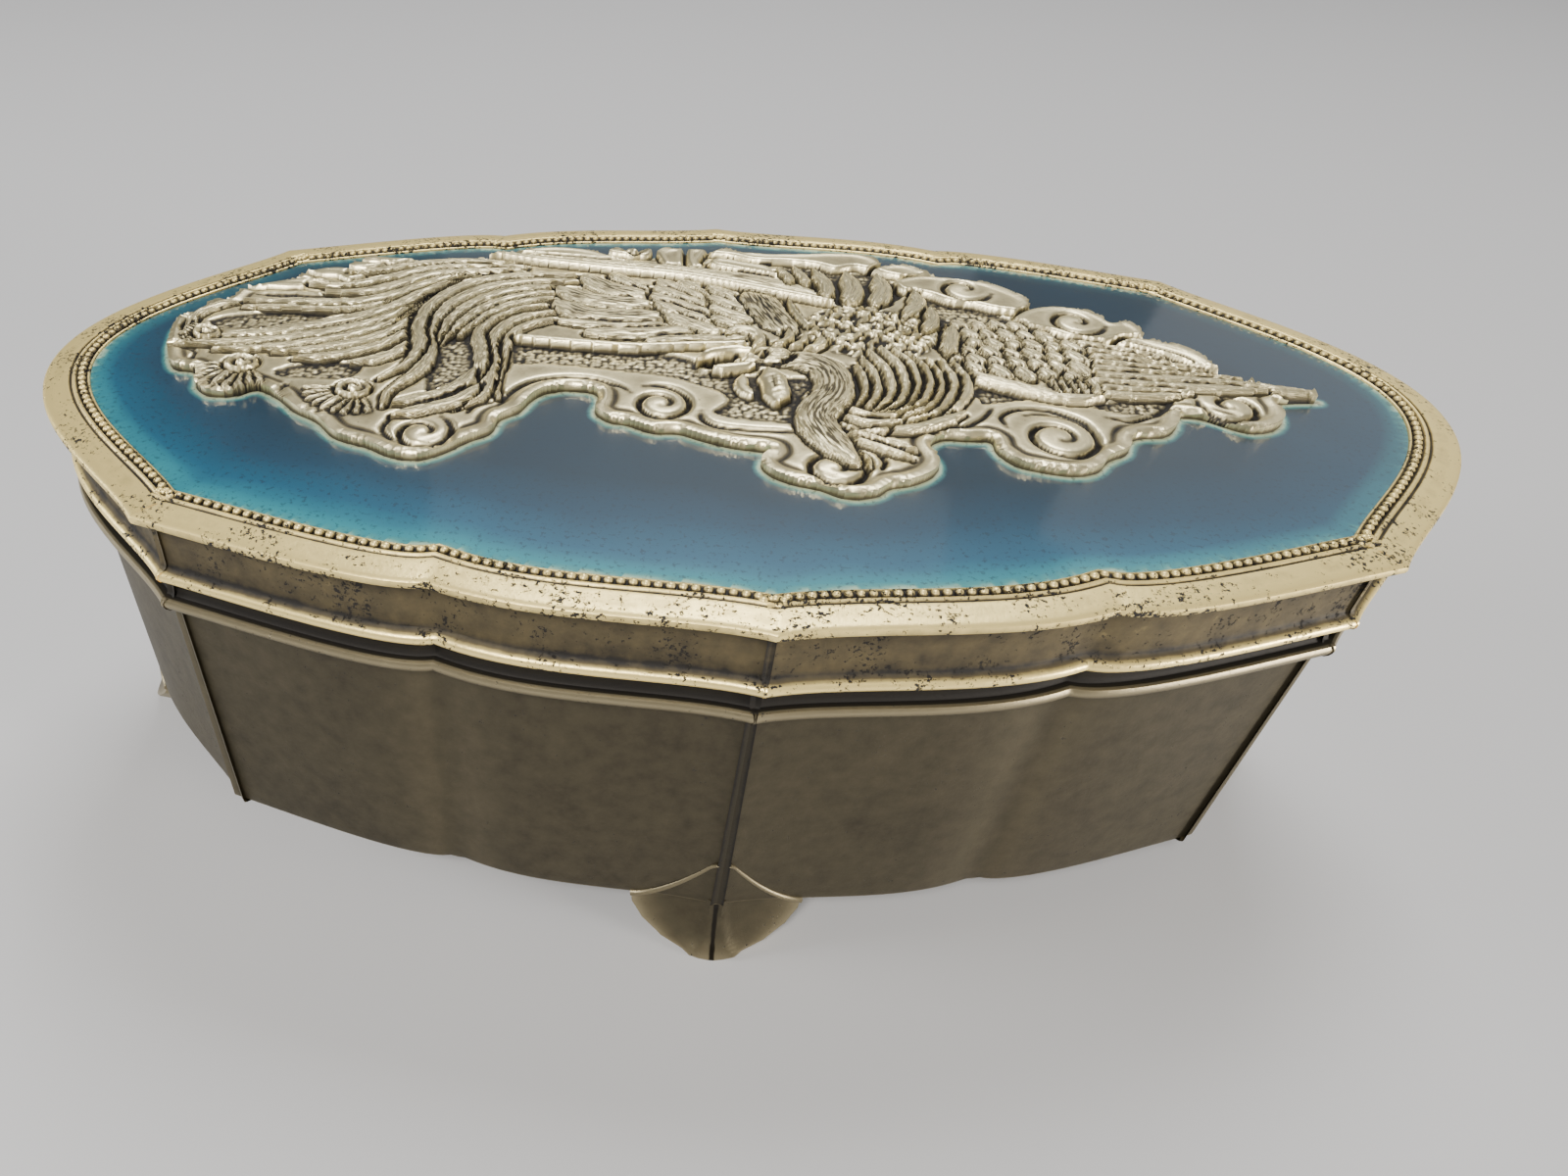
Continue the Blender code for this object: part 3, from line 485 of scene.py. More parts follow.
swells = (
    ((17, 10), (12, 12), 0.6), ((10, -4), (8, 12), 0.4), ((0, 24), (20, 8), 0.3),
    ((-50, 8), (26, 18), 0.3), ((38, 6), (12, 9), 0.3),
)
swell = sum(rise * np.exp(-((grid_x - c[0]) / r[0]) ** 2 - ((grid_y - c[1]) / r[1]) ** 2)
            for c, r, rise in swells)
flat_rise, ground_drop = 1.2, 0.62
flat = flat_rise + swell
ground_patches = (
    ((-30, 6.4), (-24, 5.8), (-15, 5.2), (-9, 4.8), (-5.6, 3.2), (-4.8, 0.4), (1, -0.2), (9, -0.6),
     (7.6, -5), (7, -9.4), (6.6, -11.6), (2, -11.4), (-1.5, -11), (-4, -9.8), (-3, -8.2), (-2, -6.5),
     (-3, -4.6), (-5.5, -3.2), (-8, -1.8), (-11, -1), (-14, -0.6), (-18, 0), (-22.5, 0.6),
     (-26, 0.8), (-29.8, 0.8)),
    ((-39.8, 7), (-37.4, 9), (-34.6, 8), (-33.4, 3), (-34.4, -1.6), (-38, -5.6), (-39.8, -7.4), (-40.6, -1)),
    ((-60, -3.4), (-57, -1.2), (-52, -0.4), (-49, -1.6), (-49.8, -4.4), (-53, -5.2), (-59, -5)),
    ((-72.4, 9.6), (-70, 11.4), (-64, 13.2), (-57.5, 13.8), (-56, 12), (-62, 8.8), (-67, 7.4), (-71, 8)),
    ((-69, 18), (-63, 19), (-56, 18.6), (-57, 17.4), (-64, 17.2)),
    ((30, -5.6), (30, -1.4), (34, -1), (37.6, -3.4), (33.5, -4.6)),
    ((44, -5.4), (46, -3.6), (54.5, -1.8), (54.8, -3.7), (51, -6.2), (48, -6.6)),
    ((27.6, 25.4), (30, 24.6), (35, 22), (39.8, 19.2), (42, 14.4), (46, 12.4), (52, 10.2), (50, 9),
     (44, 10.4), (38, 14.6), (30, 16), (26.6, 20)),
    ((8.4, 29), (9, 33.6), (13, 33.6), (17, 32.2), (22, 32.6), (25, 30), (26, 25), (20, 20.4), (15, 21.6)),
)
relief = flat.copy()
for patch in ground_patches:
    line = smooth_line(patch + patch[:1])
    rows, cols = window(line, 0.5)
    x, y = grid_x[rows, cols], grid_y[rows, cols]
    deep = np.clip(measure(line, x, y)[0] / 0.4, 0, 1) ** 0.5 * inside_line(line, x, y)
    relief[rows, cols] -= deep * (ground_drop - 0.2 * pebbles(x, y, 0.8, len(patch)))
print("ground from", relief.min().round(2), "to", relief.max().round(2))

# %% [markdown]
# ## Four tools
# A plate is flat with a rolled rim, a stroke is a long leaf with steep sides, and both press a
# dark crevice round themselves. A cut only presses. A stroke also remembers how far along and
# across it each point lies, and the metal's material draws fine feather lines from that.

# %% Plates, strokes, cuts and scrolls
dice = np.random.default_rng(11)
marks = {key: np.zeros(grid_x.shape) for key in ("along", "across", "plume")}
crevice, crevice_depth = 0.72, 0.85


def press(rows, cols, gap, depth):
    """Press a crevice beside a mark, where gap is the distance outside it."""
    here = relief[rows, cols]
    floor = flat[rows, cols] - depth * np.clip(1 - gap / crevice, 0, 1) ** 0.6
    relief[rows, cols] = np.where(gap < crevice, np.minimum(here, floor + 0.6 * np.maximum(gap, 0)), here)


def plate(points, rise, rim=0.16, round_off=0.5, depth=crevice_depth):
    """A flat cloud with a rolled rim."""
    line = smooth_line(points + points[:1])
    rows, cols = window(line, 1.0)
    x, y = grid_x[rows, cols], grid_y[rows, cols]
    away = measure(line, x, y)[0]
    inside = inside_line(line, x, y)
    press(rows, cols, np.where(inside, 9.0, away), depth)
    drop = np.clip(1 - away / round_off, 0, 1) ** 2.2
    shape = rise * (1 - drop) + rim * np.exp(-((away - 0.65) / 0.42) ** 2)
    relief[rows, cols] = np.where(inside, flat[rows, cols] + shape, relief[rows, cols])
    marks["plume"][rows, cols] = np.where(inside, 0, marks["plume"][rows, cols])


def stroke(points, half, rise, plume=1.0, depth=crevice_depth, tip=0.3, lean=0.22, full=3.0):
    """A leaf along a line: half its width, its rise, and how much it tips to one side."""
    line = smooth_line(points)
    rows, cols = window(line, half + 0.9)
    x, y = grid_x[rows, cols], grid_y[rows, cols]
    away, along, share, side = measure(line, x, y)
    turn, beat = dice.uniform(0, 6, 2)
    waves = 0.06 * np.sin(along * 1.3 + turn) + 0.05 * np.sin(along * 3.1 + beat)
    wobble = 1 + waves * (plume > 0) / max(half, 0.8)
    local = half * wobble * np.minimum(1.0, tip + 3.4 * np.minimum(share, 1 - share))
    across = away / np.maximum(local, 1e-3)
    inside = across < 1
    press(rows, cols, np.where(inside, 9.0, away - local), depth)
    top = rise * np.clip(1 - across ** full, 0, 1) ** 0.5 + lean * rise * side * np.minimum(across, 1)
    relief[rows, cols] = np.where(inside, flat[rows, cols] + top, relief[rows, cols])
    for key, value in (("along", along + 7 * turn), ("across", side * away), ("plume", plume)):
        marks[key][rows, cols] = np.where(inside, value, marks[key][rows, cols])


def cut(points, half, depth):
    """A groove along a line that fades at both ends."""
    line = smooth_line(points)
    rows, cols = window(line, half * 2.5)
    away, _, share, _ = measure(line, grid_x[rows, cols], grid_y[rows, cols])
    fade = np.clip(7 * np.minimum(share, 1 - share), 0.15, 1)
    relief[rows, cols] -= depth * fade * np.exp(-(away / half) ** 2)


def scroll(centre, radius, start, sense, turns):
    """A curl: a domed eye with a groove that winds in to it."""
    bowl = np.hypot(grid_x - centre[0], grid_y - centre[1])
    relief[...] += 0.3 * np.exp(-(bowl / (0.4 * radius)) ** 2) * (bowl < 2 * radius)
    t = np.linspace(0, 1, 30)
    angle = math.radians(start) + sense * 2 * math.pi * (turns + 0.25) * t
    reach = radius * (1 - 0.8 * t)
    path = np.stack([centre[0] + reach * np.cos(angle), centre[1] + reach * np.sin(angle)], 1)
    cut(path, 0.42, 0.95)
    return path


print("crevices are", crevice, "mm wide and", crevice_depth, "mm deep")

# %% [markdown]
# ## Clouds
# The clouds are flat plates. Along the relief's outer edge runs a low lip with a shallow
# groove behind it. Each scroll is wound by one groove. The clouds at the back are plates of
# their own, with thick bright front edges.

# %% Cloud plates and scrolls
edge_lip = 0.26 * np.exp(-((edge_gap - 0.8) / 0.45) ** 2)
edge_groove = 0.2 * np.exp(-((edge_gap - 2.1) / 0.42) ** 2)
relief += within * (edge_lip - edge_groove)

scrolls = (
    ((-39.2, -16.6), 4.0, 60, -1, 1.1), ((-10.6, -8), 4.4, 115, -1, 1.3), ((9.2, -20.8), 4.2, 50, -1, 1.15),
    ((37.6, -12.6), 5.6, 120, -1, 1.33), ((62.2, -3.6), 4.2, 150, 1, 1.05),
)
for centre, radius, start, sense, turns in scrolls:
    scroll(centre, radius, start, sense, turns)
cloud_cuts = (
    (((-30.6, -10.4), (-29.4, -6.8), (-27, -3.9), (-23, -2.5), (-19, -2.6), (-15.6, -4.2),
      (-14.2, -5.8)), 0.34, 0.6),
    (((-5.6, -9.6), (-5.4, -11.4), (-3.6, -12.8), (0, -13.4), (6, -13.6)), 0.42, 0.8),
    (((14.8, -17.6), (15.4, -19.4), (14.6, -21.2)), 0.3, 0.7),
    (((31.8, -10.8), (31.8, -8.2), (34.4, -6.4), (38.4, -6.4), (41.6, -8.4), (42.6, -11)), 0.34, 0.6),
    (((45, -7.6), (48, -8), (51, -6.6), (54, -4.6), (57, -5)), 0.4, 0.75),
    (((21.6, -12), (25.6, -11.4), (29, -9.2), (31.4, -6)), 0.3, 0.5),
    (((-43.2, -13.6), (-43.8, -16.4), (-42, -18.6)), 0.36, 0.6),
    (((-34.2, -12.4), (-33.6, -10.6), (-31, -9)), 0.32, 0.5),
    (((-57.2, -6.4), (-58, -8), (-56.4, -10)), 0.34, 0.6),
    (((-73, 1.6), (-71.4, 0.6), (-71.6, -2)), 0.3, 0.5),
)
for points, half, depth in cloud_cuts:
    cut(points, half, depth)

cloud_plates = (
    (((-53.4, 31.6), (-49, 31.4), (-44, 31.2), (-40, 32.6), (-38, 32), (-44, 29.6), (-50, 29.4),
      (-55, 30)), 0.35),
    (((-57, 27), (-52, 27.8), (-49, 28.6), (-53, 29.4), (-56, 29)), 0.4),
    (((-62.4, 25.4), (-59, 27), (-55.6, 26.6), (-53.4, 24.4), (-55.6, 23), (-57.6, 24.4), (-60, 24.6)), 0.4),
    (((-70, 19.6), (-64, 22.4), (-60.4, 23.2), (-57.4, 22), (-58.4, 20.4), (-64, 20)), 0.4),
    (((-32, 34.6), (-30, 36.4), (-26, 37.4), (-21, 36.8), (-17.6, 35), (-14, 33), (-20, 32.8),
      (-26, 34)), 0.45),
    (((-18, 35.8), (-15.6, 38), (-12.5, 38), (-10.9, 36.4), (-12, 35), (-15, 35.2)), 0.55),
    (((-10.2, 37), (-8.4, 38.4), (-6, 38.6), (-6, 36), (-6.4, 32), (-8.6, 31.6), (-9.6, 34)), 0.4),
    (((-5.4, 38.6), (-2.4, 38.4), (-3, 36), (-3.6, 34), (-3, 32), (-4.8, 31.6), (-5.6, 34)), 0.4),
    (((-2.4, 36.4), (0, 38.4), (3, 37.4), (8, 37), (13, 37.5), (17, 38.1), (21, 38), (23.4, 36.5),
      (24.3, 34.2), (22, 32.8), (20, 33.4), (17, 32.4), (14, 33.8), (10, 34.4), (5, 34.4), (1, 36)), 0.75),
    (((-2.4, 33.6), (-0.5, 34.8), (3, 33.7), (6.6, 32.4), (8, 30.4), (8.4, 28.6), (5, 29.6), (1.5, 31),
      (-1.6, 32.2)), 0.75),
    (((22.6, 32.6), (25, 34.4), (28, 34.4), (31, 32.2), (34, 30.8), (30.6, 30.6), (28.4, 30),
      (25, 31)), 0.7),
    (((24.8, 28.6), (27, 30), (30, 30.8), (35, 30.3), (38.6, 29.2), (41.4, 27), (43.6, 24.2), (43.6, 21.8),
      (42.3, 20), (38.5, 20.6), (35, 22.2), (32, 22.9), (29.5, 24.8), (26, 25.8)), 0.7),
    (((40, 18), (42, 20), (44.4, 21.4), (47.5, 22), (51, 21.2), (53, 19), (53.8, 17.4), (55.6, 18),
      (57.3, 15.6), (56.8, 13.4), (54.5, 13), (52, 12), (50, 11.2), (47.5, 12), (45, 13.8), (42, 15),
      (40, 16)), 0.7),
    (((52.4, 11.6), (54.6, 13), (57.4, 12.8), (61, 11), (63, 8.4), (64.2, 5.2), (61, 5.4), (58.4, 7.4),
      (55.6, 9.4)), 0.6),
)
for points, rise in cloud_plates:
    plate(points, rise)
back_scrolls = (
    ((48.6, 17.4), 4.2, -20, -1, 0.95), ((35, 26.8), 4.2, -20, -1, 0.85),
    ((-13.8, 36.6), 1.7, 180, -1, 0.9),
)
for centre, radius, start, sense, turns in back_scrolls:
    scroll(centre, radius, start, sense, turns)
cut(((53.4, 12.4), (57, 10.8), (60.4, 8.6), (62, 6)), 0.3, 0.6)
print("cloud plates:", len(cloud_plates), "scrolls:", len(scrolls) + len(back_scrolls))

# %% [markdown]
# ## The tail
# The bird's tail sweeps to the left in two bundles of long plumes. The left bundle fans out
# to the far end of the lid, and the right one hooks down over it. The plumes could be blended
# from a few guides, but even spacing looks like a comb, so each is drawn by itself and its
# neighbours overlap it. Three plumes end in an eye, a small scroll with rays below it.

# %% Tail plumes
left_bundle = (
    (((-42.6, 8), (-43.8, 4.4), (-46.4, 0.8), (-50.5, -1.2)), 1.0),
    (((-43.4, 11.6), (-45.4, 7.2), (-48.6, 3.2), (-53, 0.8), (-58, -0.6)), 1.1),
    (((-43.8, 15), (-46, 10), (-49, 5.8), (-54.4, 2.8), (-61, 0.8)), 1.15),
    (((-43.4, 19.5), (-46.4, 13.5), (-49.4, 8.8), (-55, 5.2), (-62, 2.6), (-69, 1)), 1.25),
    (((-42, 22.6), (-45.6, 17.4), (-48.6, 12), (-53.5, 8.2), (-60, 5.4), (-67, 3.4), (-75, 2.2)), 1.3),
    (((-40, 25.2), (-44.4, 20.6), (-48, 15.4), (-52.5, 11.4), (-59, 8.2), (-65, 5.9), (-70.4, 4.4)), 1.3),
    (((-69.6, 4.8), (-73.6, 5.6), (-74.4, 9.4), (-72.2, 13.4), (-68.4, 15.2)), 0.75),
    (((-46.6, 19.6), (-50.4, 15.6), (-56, 13.8), (-62, 14), (-68.6, 13.4)), 0.7),
    (((-34, 27.4), (-40, 26.6), (-45, 22.8), (-49, 18.6), (-54, 16.2), (-61, 15.8), (-69, 15.4)), 1.15),
    (((-30, 28.6), (-38, 28.4), (-44.4, 26), (-48.4, 22.4), (-53, 19.6), (-58, 19.2)), 1.2),
    (((-30, 29.8), (-38, 30), (-45, 28), (-50, 24.6), (-55.6, 21.6), (-61, 21.2)), 1.0),
    (((-32, 31), (-40, 31.2), (-46.6, 29.6), (-51, 27.4), (-56, 25.4)), 0.9),
)
right_bundle = (
    (((-22, 13.6), (-26, 12.6), (-29.4, 10), (-31, 6), (-31.2, 1), (-31.6, -4), (-30.6, -8.6)), 0.85),
    (((-24, 15.6), (-29.4, 13.4), (-32, 10), (-33, 6), (-32.4, 1), (-32.4, -4), (-33, -8.6),
      (-36, -11.6)), 0.95),
    (((-25.6, 17.6), (-31, 15.4), (-34, 12), (-35, 8), (-34, 3), (-33.8, -2), (-35, -6.2)), 0.95),
    (((-34.4, -2), (-35.8, -6), (-39, -9), (-43.8, -10.8)), 1.35),
    (((-33.4, -6), (-35.8, -9.6), (-39.4, -11.8), (-43, -13.6)), 1.1),
    (((-25.6, 19.6), (-30, 18.2), (-34, 15), (-36.4, 11.2), (-37.4, 7.4)), 1.15),
    (((-24, 21.6), (-29, 20.8), (-33.6, 18), (-36.8, 13.8), (-38.6, 9.6), (-39.8, 5.4)), 1.15),
    (((-22, 23.4), (-29, 22.8), (-34, 20.2), (-37.8, 16), (-40, 11), (-40.8, 6), (-40.2, 1)), 1.1),
    (((-21, 25.6), (-29, 25), (-35, 22.6), (-39, 18.4), (-41.4, 13), (-42, 7.6), (-41, 2.6), (-41.6, -2.6),
      (-44.4, -8), (-44.6, -11.6)), 1.15),
    (((-20, 27.6), (-29, 27.2), (-36, 25), (-40.2, 21), (-42.8, 15.5), (-43.3, 9.5), (-42.4, 4), (-43.4, -1),
      (-46.2, -5)), 1.0),
)
for points, half in left_bundle + right_bundle:
    stroke(points, half, 0.6, depth=0.75)

# %% Eyes at the plumes' ends
def polar(centre, reach, angle):
    return centre[0] + reach * math.cos(angle), centre[1] + reach * math.sin(angle)


eyes = (((-64.6, -2), 2.2, -108, 2.7), ((-49, -7.4), 2.2, -118, 2.7), ((-71.6, 6.2), 1.8, 200, 1.7))
ray_step = 14
for centre, radius, lean, ray_share in eyes:
    far = radius * ray_share
    for k in (-4, 4, -3, 3, -2, 2, -1, 1, 0):
        a = math.radians(lean + k * ray_step)
        stroke((centre, polar(centre, far * 0.6, a), polar(centre, far, a)), 0.62, 0.5, depth=0.25, tip=0.6)
    plate([polar(centre, radius, t) for t in np.linspace(0, 5.8, 12)], 0.55)
    scroll(centre, radius * 0.72, 90, -1, 1.2)
print("plumes:", len(left_bundle) + len(right_bundle))

# %% [markdown]
# ## The wings
# The left wing is spread back with a long bright leading edge, flight feathers to the left
# and short coverts by the body. The right wing lies along the lid: overlapping coverts like
# fish scales, then narrow flight feathers that end in one long point.

# %% Left wing
left_flight = (
    (((-17, 28), (-14, 25.4), (-12.2, 23.6)), 1.3, 0.55),
    (((-21, 27), (-17, 23.4), (-12.5, 21.8)), 1.8, 0.6),
    (((-24.6, 22.6), (-19.5, 19.6), (-11.4, 18.6)), 1.7, 0.6),
    (((-24.6, 17.8), (-19.5, 14.6), (-10.2, 15)), 2.0, 0.65),
    (((-24, 12.6), (-16, 11.6), (-10, 12.6)), 0.9, 0.5),
    (((-20, 9.4), (-13, 9.8), (-5.6, 11.2)), 1.3, 0.6),
)
left_coverts = (
    (((-10, 26.4), (-6, 23.4), (-3.4, 20.2)), 1.15), (((-7, 27), (-3.6, 24.6), (-1.4, 21.8)), 1.05),
    (((-10.6, 24.2), (-7, 21.4), (-3.4, 18.4)), 1.15), (((-11, 21.6), (-7, 18.8), (-2.8, 16)), 1.15),
    (((-10.4, 19), (-7, 16.4), (-2.8, 13.8)), 1.15), (((-9, 15.4), (-5.6, 13), (-2, 10.8)), 1.25),
    (((-2.8, 25), (0, 22.8), (2.2, 20.4)), 1.05), (((-2.6, 21.6), (0, 19.6), (2.2, 17.6)), 1.0),
    (((-2.6, 18.4), (0, 16.6), (2.4, 15)), 1.0), (((-2.6, 15.2), (0, 13.6), (2.6, 12.2)), 0.95),
)
for points, half, rise in left_flight:
    stroke(points, half, rise, tip=0.5)
for points, half in left_coverts:
    stroke(points, half, 0.6, tip=0.45)
stroke(((3.6, 24.4), (5.4, 18), (7.2, 12.4)), 2.7, 0.5, plume=1.6, tip=0.6, depth=0.5)
stroke(((8.4, 22), (9.2, 17), (11.4, 11)), 0.42, 0.7, plume=0)
stroke(((-33, 34), (-20, 31.8), (-8, 30.4), (2, 28.6), (9, 26.2), (14.4, 22.6)), 1.7, 0.6,
       plume=0.6, depth=0.3)
stroke(((-36, 33.6), (-28, 32), (-18, 30.2), (-8, 28.7), (0, 26.4), (8, 23.4), (14.6, 20.6)), 0.85, 1.15,
       plume=0, tip=0.5, lean=0)
stroke(((-12, 7.6), (-4, 8.6), (1.4, 9.4)), 1.3, 0.55, plume=1.6, depth=0.3)
stroke(((-29.6, 7), (-22, 6.2), (-14, 5.6), (-6, 6.6), (1, 7.4)), 0.65, 0.9, plume=0, tip=0.7, lean=0)

# %% Right wing
covert_rows = (
    ((26.6, 14.6), (40, 15.4), 6), ((27.6, 12.4), (43, 12.8), 7), ((27.6, 10), (46, 9.8), 8),
    ((28.6, 7.6), (45.6, 7), 7), ((29.2, 5.2), (45, 4.2), 7), ((31, 3), (43.6, 1.4), 5),
)
right_flight = (
    (((43, 12.4), (50, 10.6), (56, 8.6), (60, 6.2)), 0.85),
    (((43, 10.4), (50, 9), (57, 7), (62.4, 5)), 0.8),
    (((43, 8.6), (51, 7.4), (58, 5.8), (64.2, 4.2)), 0.85),
    (((43.6, 6.8), (51, 5.8), (59, 4.6), (66, 3.2)), 0.8),
    (((44, 5), (52, 4), (60, 3.2), (68.4, 2.2)), 0.85),
    (((44, 3.2), (52, 2.4), (61, 1.9), (74.2, -0.1)), 0.9),
    (((44, 1.4), (52, 0.6), (60, 0.2), (68, 0)), 0.8), (((44, -0.4), (52, -1), (58, -1.2)), 0.75),
    (((44.6, -2), (51, -2.4), (56, -2)), 0.6),
)
for points, half in right_flight:
    stroke(points, half, 0.55, tip=0.35, plume=0.8)
for start, end, count in covert_rows:
    for i in range(count):
        c = np.array(start) + (np.array(end) - np.array(start)) * (i / (count - 1))
        tilt = np.array((0.42, -0.9)) * (1.45 + 0.25 * math.sin(3.3 * i + start[1]))
        half = 0.95 + 0.12 * math.sin(2.7 * i + start[0])
        stroke([c - tilt, c + (0.25, 0.05), c + tilt], half, 0.6, tip=0.55)
stroke(((28.5, 2), (33, -0.4), (37.4, -2.4), (41.4, -3.6), (45.4, -3.2)), 1.3, 0.85,
       plume=0.3, tip=0.5, lean=0)
for k in range(5):
    stroke(((40.4 + k * 1.2, 0.8), (40.7 + k * 1.2, -1), (40.6 + k * 1.15, -2.4)), 0.56, 0.85,
           depth=0.3, tip=0.6)
print("wing feathers:", len(left_flight) + len(left_coverts) + len(right_flight)
      + sum(row[2] for row in covert_rows))

# %% [markdown]
# ## The body, neck and head
# The bird's back is a tangle of curled down. Crescent feathers hang from the breast, the neck
# bends in an S, and the open beak points left over two long wattles.

# %% Down, breast and back feathers
down_place = ((grid_x - 18.8) / 9.0) ** 2 + ((grid_y - 13) / 7.8) ** 2
bent_x = grid_x + 0.9 * np.sin(1.1 * grid_y + 0.6 * grid_x) + 0.5 * np.sin(2.3 * grid_x - 1.9 * grid_y + 1)
bent_y = grid_y + 0.9 * np.sin(0.9 * grid_x - 0.7 * grid_y + 2) + 0.5 * np.sin(2.1 * grid_y + 1.7 * grid_x)
curl = (1.3 * np.sin(2.9 * bent_x + 1.1 * bent_y)
        + 0.9 * np.sin(2.3 * bent_y - 1.3 * bent_x + 1.5 * np.sin(1.3 * bent_x)))
tufts = 0.8 * np.clip(0.45 + 0.75 * curl, 0, 1) ** 0.7 + 0.12 * pebbles(grid_x, grid_y, 0.8, 4)
down_mask = np.clip((1.05 - down_place) * 5, 0, 1)
relief = relief * (1 - down_mask) + (flat - 0.3 + tufts) * down_mask
marks["plume"] *= 1 - down_mask

back_feathers = (
    (((9.4, 27), (9.4, 29.4), (8, 31.8)), 0.8), (((11.8, 26.2), (11.8, 29), (10.6, 32.4)), 0.8),
    (((14.2, 22.6), (14.8, 27), (13.6, 31.6)), 1.25), (((17, 20.8), (18.6, 25.6), (18.4, 31)), 1.65),
    (((20.8, 20.6), (23, 25.4), (23, 30.6)), 1.5), (((24.6, 17.6), (27.2, 21), (27.6, 25.2)), 1.4),
    (((26.4, 13), (28.2, 16), (28.8, 20)), 1.1), (((28.2, 7), (29.6, 11), (30.6, 14.4)), 1.2),
)
breast = (
    (((28.4, 4.6), (28.9, -1), (27.4, -5), (24.6, -8.4), (20.2, -11.8)), 0.85),
    (((26.8, 5), (27.2, 0), (26, -4), (23.4, -7.8), (19.6, -10.8)), 0.85),
    (((25, 5.2), (25.5, 0.4), (24.5, -3.6), (22, -7.4), (18.6, -10)), 0.8),
    (((22.8, 6.4), (24, 2.4), (23.8, -1.4), (22.2, -5.2), (17.8, -9.2)), 0.85),
    (((20.9, 7.6), (22.4, 3.6), (22.4, -0.8), (20.8, -5), (17, -8.6)), 0.75),
    (((19.2, 8), (20.7, 3.4), (20.8, -1.2), (19.3, -5.4), (16.2, -8.2)), 0.8),
    (((17.4, 7), (18.8, 2.4), (19, -1.6), (17.8, -5.4), (15.4, -8)), 0.75),
    (((16.3, 4.8), (17.1, 0.4), (16.8, -3.8), (15, -7.8)), 0.7),
    (((15.2, 3.4), (15.7, -0.8), (15.2, -4.4), (14, -7)), 0.45),
    (((27, -8.4), (24, -10.4), (20, -12.4), (15.8, -13.2)), 0.95),
    (((18.4, -9.6), (15.4, -9.8), (12.4, -8)), 0.7),
    (((18.6, -11), (14.8, -11.4), (11.8, -10)), 0.7), (((16.6, -13), (14, -13.6), (11, -12.2)), 0.75),
    (((19.4, -17.4), (16, -15.6), (12, -13.6)), 0.75), (((18.6, -19), (15, -16.8), (11.4, -14.8)), 0.65),
    (((13.4, -20.8), (12.8, -18.6), (10.8, -16.6)), 0.6),
)
for points, half in back_feathers:
    stroke(points, half, 0.9, plume=0.8)
cut(((14.4, 3.4), (14.9, -1), (14.3, -6.4)), 0.8, 0.9)
for points, half in breast:
    stroke(points, half, 0.74, tip=0.3, plume=0.5, full=2.2, depth=0.65)

# %% Neck and head
stroke(((0.2, -1.2), (-0.1, -3.4), (0.8, -5.6)), 0.85, 0.5, tip=0.5, plume=0)
stroke(((3.6, 0.6), (4.2, -3.6), (3.9, -7.2)), 1.75, 0.65, tip=0.35, plume=0)
wattle_dots = np.exp(-((grid_x - 4.3) / 1.1) ** 2 - ((grid_y + 3.2) / 2.4) ** 2)
relief += 0.42 * wattle_dots * pebbles(grid_x, grid_y, 0.75, 21)
crest = (
    (((-1.2, 10.2), (0.4, 11.6), (2.6, 11.2), (3.4, 9), (2.2, 6.6)), 0.8),
    (((7.4, 11.8), (7.2, 9.4), (4.8, 7)), 0.75), (((9.4, 10.8), (9, 8.8), (7, 7)), 0.6),
    (((11.6, 10.2), (11, 8), (9, 6.6)), 0.8),
)
for points, half in crest:
    stroke(points, half, 0.8, plume=0.5)
stroke(((4.4, 3.6), (8.4, 3.6), (11.1, 1.8), (11.7, -1.5), (11.1, -5), (9.3, -8), (8.3, -11),
        (8.8, -14), (10, -17), (11.4, -20)), 2.6, 1.0, plume=2.2, tip=0.45, lean=0, full=2.0, depth=0.7)
stroke(((0.8, 3.4), (2.8, 4.2), (5.6, 4.4)), 1.7, 1.25, plume=1, depth=0.2, tip=0.8, full=2.0)
stroke(((-5.4, 2), (-3.6, 4), (-0.6, 5), (2.4, 4.6)), 0.62, 1.2, plume=0, tip=0.3)
stroke(((-3.4, 0), (-0.8, 0.7), (1.8, 1.6)), 0.72, 0.95, plume=0, tip=0.4)
cut(((-4.8, 1.9), (-2.2, 2.8), (1.2, 3)), 0.8, 1.6)
plate(((3.6, 4.3), (3.1, 4.8), (2.6, 4.3), (3.1, 3.8)), 1.7, rim=0, depth=0.1)
print("relief rise:", relief[within].min().round(2), "to", relief[within].max().round(2))

# %% [markdown]
# ## From numbers to a mesh
# The grid is made with Blender's own grid operator, lifted to the drawn heights, and trimmed
# to the edge. The rim of the trimmed mesh is pulled onto the drawn line, so the edge is
# smooth and not stepped, and its walls are extruded down into the enamel.
#
# The same numbers tell how rubbed each point is: a point above the average of its
# surroundings is bright, and one below holds dirt.

# %% Rubbed and dirty places
def blur(values, reach):
    """A Gaussian average over a reach in millimetres."""
    spread = reach / grid_pitch
    fy = np.fft.fftfreq(values.shape[0])[:, None]
    fx = np.fft.rfftfreq(values.shape[1])[None, :]
    soft = np.exp(-2 * (np.pi * spread) ** 2 * (fx ** 2 + fy ** 2))
    return np.fft.irfft2(np.fft.rfft2(values) * soft, s=values.shape)


wide_reach, fine_reach = 1.0, 0.4
edge_shape = np.clip(0.3 + edge_gap / 0.9, 0, 1) ** 0.6
height_map = np.where(within, np.clip(relief, 0.3, None) * edge_shape, 0.0)
stand = ((height_map - blur(height_map, wide_reach)) / 0.4
         + (height_map - blur(height_map, fine_reach)) / 0.16)
rubbed_map = np.clip(0.5 + 0.5 * stand, 0, 1) * np.clip(0.5 + edge_gap / 0.6, 0, 1)
print("average rub:", rubbed_map[within].mean().round(2))


